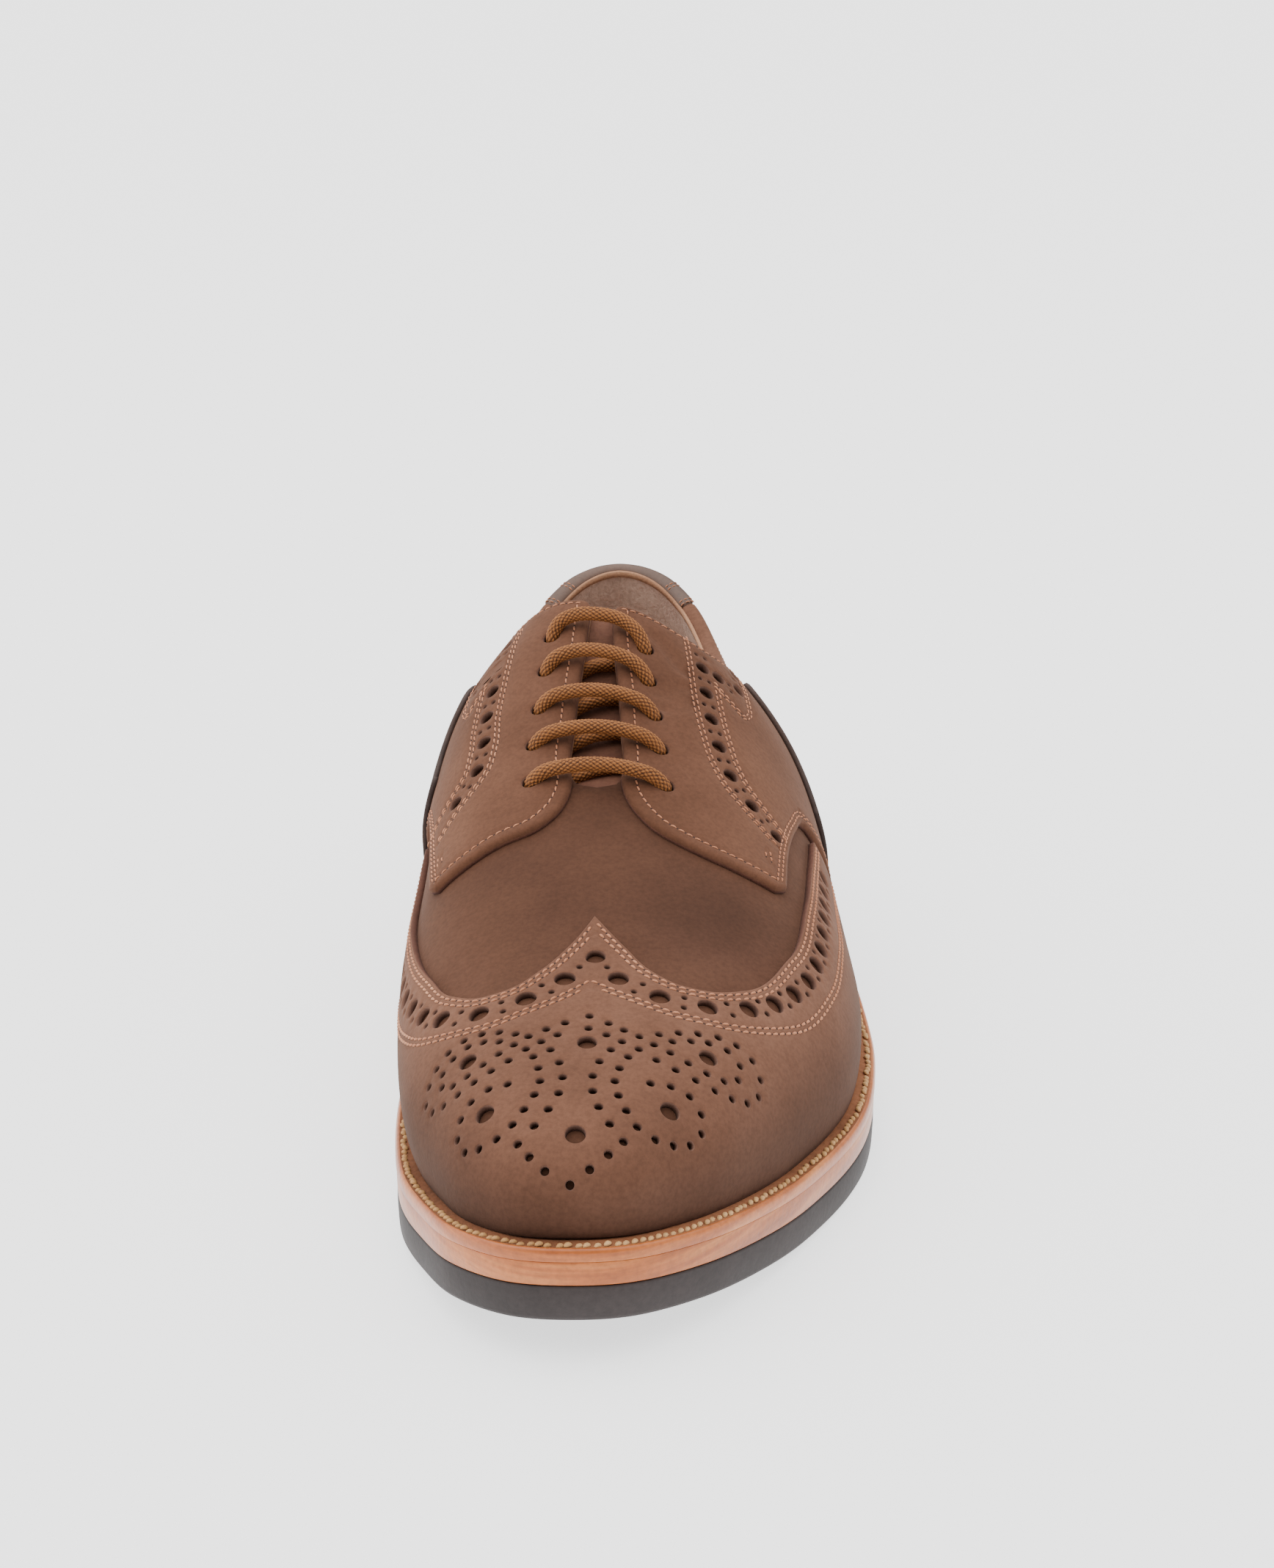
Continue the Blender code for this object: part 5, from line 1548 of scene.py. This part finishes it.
def nubuck(name, colours):
    """Oiled nubuck: painted shade darkens it towards the welt, and it is darker in one broad patch of the
    vamp.
    """
    shade = Shade(name, {"Roughness": 0.85, "Specular IOR Level": NUBUCK_SPECULAR, "Sheen Weight": 0.06,
                         "Sheen Roughness": 0.45, "Sheen Tint": SHEEN_TINT})
    fine = shade.noise(900.0, 3.0, 0.6)
    tones = shade.speckle(shade.tones(shade.noise(16.0, 6.0, 0.62), NUBUCK_STOPS, colours), fine, 0.55)
    height = shade.add("SeparateXYZ", "Z", {0: shade.place})
    # Painted shade: darker towards the welt
    tones = shade.multiply(tones, shade.shadow(height, (PAINTED_LOW_SHADE_FROM, PAINTED_LOW_SHADE_TO), PAINTED_LOW_SHADE))
    away = shade.add("VectorMath", "Value", {0: shade.place, 1: VAMP_PATCH}, operation="DISTANCE")
    tones = shade.multiply(tones, shade.shadow(away, (0.0, PATCH_REACH), PATCH_TONE))
    shade.fill(shade.shader, {"Base Color": tones})
    shade.bump(shade.noise(110.0, 3.0), 0.5, 0.25)
    shade.bump(fine, 0.6, 0.12)
    return shade.material


def braided(name, colours):
    """The lace: golden, with painted shade between its strands and painted light on top of them."""
    shade = Shade(name, {"Roughness": 0.75, "Specular IOR Level": SPECULAR})
    relief = shade.add("Attribute", "Fac", {}, attribute_name="relief")
    tones = shade.tones(relief, BRAID_STOPS, colours)
    shade.fill(shade.shader, {"Base Color": shade.speckle(tones, shade.noise(1800.0, 3.0), 0.5)})
    shade.bump(shade.noise(2600.0, 2.0), 0.5, 0.1)
    return shade.material


# The quarter and vamp copies are the same nubuck as the wing in darker tones: painted shade for how the
# light falls on the quarters, the counter and the vamp
NUBUCK = nubuck("brown_nubuck", ((86, 57, 43), (102, 69, 53), (119, 84, 67)))
SHADED_QUARTER_NUBUCK = nubuck("quarter_nubuck_painted_shade", ((79, 50, 35), (93, 61, 45), (107, 73, 55)))
SHADED_VAMP_NUBUCK = nubuck("vamp_nubuck_painted_shade", ((67, 42, 30), (79, 51, 37), (93, 62, 47)))
# Lace tones from the grooves to the tops of the strands: painted shade in the grooves, painted light on
# the tops
LACE = braided("golden_brown_lace", ((38, 18, 6), (100, 57, 23), (152, 96, 47)))
# Painted light: the walls of punched holes are lighter than the cut edges, so the holes look less dark
# than their shade
HOLE_WALL = grained("hole_wall_painted_light", ((84, 58, 47), (98, 69, 57), (112, 81, 67)), 0.9)
RAW_EDGE = grained("raw_leather_edge", ((74, 44, 33), (90, 55, 42), (104, 66, 50)), 0.85)
# The counter's raw edge, darker than the other raw edges: partly its own colour, partly painted shade
COUNTER_EDGE_AND_SHADE = grained("counter_raw_edge_and_shade", ((50, 36, 32), (62, 46, 40), (74, 56, 49)), 0.7)
TAN_EDGE = grained("tan_leather_edge", ((132, 92, 66), (152, 110, 82), (172, 130, 100)), 0.9,
                   grain=1500.0, depth=0.3)
# Painted shade: the backs of the overlays and the foot of each hole's wall are dark, for the shade under
# the leather
SHADED_BACKING = grained("backing_painted_shade", ((46, 30, 23), (60, 40, 31), (74, 50, 39)), 0.9)
# Painted light: the suede lining, also on the insole, is lighter than its own colour, for the light that
# barely reaches inside the heel
LINING = grained("suede_lining_painted_light", ((158, 125, 107), (182, 149, 131), (200, 170, 151)), 0.95,
                 grain=900.0, depth=0.7, sheen=0.1)
TONGUE_SUEDE = grained("tongue_suede", ((84, 52, 38), (100, 64, 48), (114, 76, 58)), 0.9, depth=0.25)
# The back roll is the same leather as the nubuck side rolls, in its own greyer colour: painted reflection
BINDING = grained("collar_leather", ((70, 48, 36), (83, 59, 46), (96, 70, 56)), 0.5)
WELT_TAN = grained("tan_welt_leather", ((142, 70, 25), (170, 92, 37), (192, 118, 60)), 0.34,
                   patch=60.0, stretch=(0.35, 0.35, 6.0), coat=0.2)
CHANNEL = grained("welt_channel", ((92, 54, 32), (120, 74, 46), (146, 94, 62)), 0.9, depth=0.4)
RUBBER = grained("dark_rubber", ((36, 30, 29), (45, 38, 37), (54, 46, 45)), 0.6)
THREAD = grained("thread", ((152, 96, 66), (170, 113, 82), (188, 133, 101)), 0.7, grain=2400.0)
# Painted shade of the needle holes
PAINTED_NEEDLE_SHADE = grained("needle_hole_painted_shade", ((40, 24, 18), (52, 32, 24), (62, 40, 30)), 0.9)
WELT_THREAD = grained("welt_thread", ((150, 106, 62), (176, 132, 84), (198, 156, 108)), 0.8, grain=2000.0)


def studio():
    """A white surround, brightest overhead and a little behind the shoe, then at its two sides."""
    world = bpy.data.worlds.new("studio")
    sky = Nodes(world)
    way = sky.add("TexCoord", "Generated", {})
    overhead = sky.add("VectorMath", "Value", {0: way, 1: OVERHEAD}, operation="DOT_PRODUCT")
    dome = sky.add("MapRange", "Result", {"Value": overhead, "From Min": DOME_FROM, "From Max": DOME_TO,
                                          "To Min": SURROUND, "To Max": DOME},
                   interpolation_type="SMOOTHSTEP")
    across = sky.add("SeparateXYZ", "X", {0: way})
    shifted = sky.add("Math", "Value", {0: across, 1: SIDE_SHIFT}, operation="SUBTRACT")
    square = sky.add("Math", "Value", {0: shifted, 1: 2.0}, operation="POWER")
    total = sky.add("Math", "Value", {0: square, 1: SIDE_LIGHT, 2: dome}, operation="MULTIPLY_ADD")
    sky.fill(sky.tree.nodes["Background"], {"Color": WHITE, "Strength": total})
    return world


def make_stage():
    """A plain pale floor, the surround, one large soft light and the camera."""
    mesh = bpy.data.meshes.new("floor")
    corners = [(x * FLOOR_REACH, y * FLOOR_REACH, 0) for x, y in ((-1, -1), (1, -1), (1, 1), (-1, 1))]
    mesh.from_pydata(corners, [], [(0, 1, 2, 3)])
    shade = Shade("pale_floor", {"Roughness": 0.9, "Specular IOR Level": 0.0, "Emission Color": WHITE,
                                 "Emission Strength": FLOOR_GLOW})
    shade.fill(shade.shader, {"Base Color": shade.ramp(shade.noise(0.4), (0.3, 0.7), FLOOR_TONES)})
    mesh.materials.append(shade.material)
    floor = shown("floor", mesh)
    bpy.context.scene.world = studio()
    light = bpy.data.lights.new("softbox", "AREA")
    light.energy = 4.0
    light.size = 1.2
    lamp = shown("softbox", light)
    lamp.location = LAMP_PLACE
    lamp.rotation_euler = LAMP_TURN
    camera = bpy.data.cameras.new("camera")
    camera.lens = 60.0
    camera.sensor_fit = "VERTICAL"
    camera.sensor_height = 36.0
    eye = shown("camera", camera)
    eye.location = CAMERA_PLACE
    eye.rotation_euler = (CAMERA_TILT, 0.0, 0.0)
    bpy.context.scene.camera = eye


eyelets = {side: table_places(EYELETS, side) for side in SIDES}
thread = Draft()
make_upper(eyelets)
make_wing(thread)
for quarter_side in SIDES:
    make_quarter(quarter_side, eyelets, thread)
make_counter()
make_tongue(thread)
make_binding(thread)
make_lace(eyelets)
make_sole()
make_welt_stitches()
thread.piece("stitches", [THREAD, PAINTED_NEEDLE_SHADE])
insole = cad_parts["insole"]
insole.data.materials.clear()
insole.data.materials.append(LINING)
make_stage()
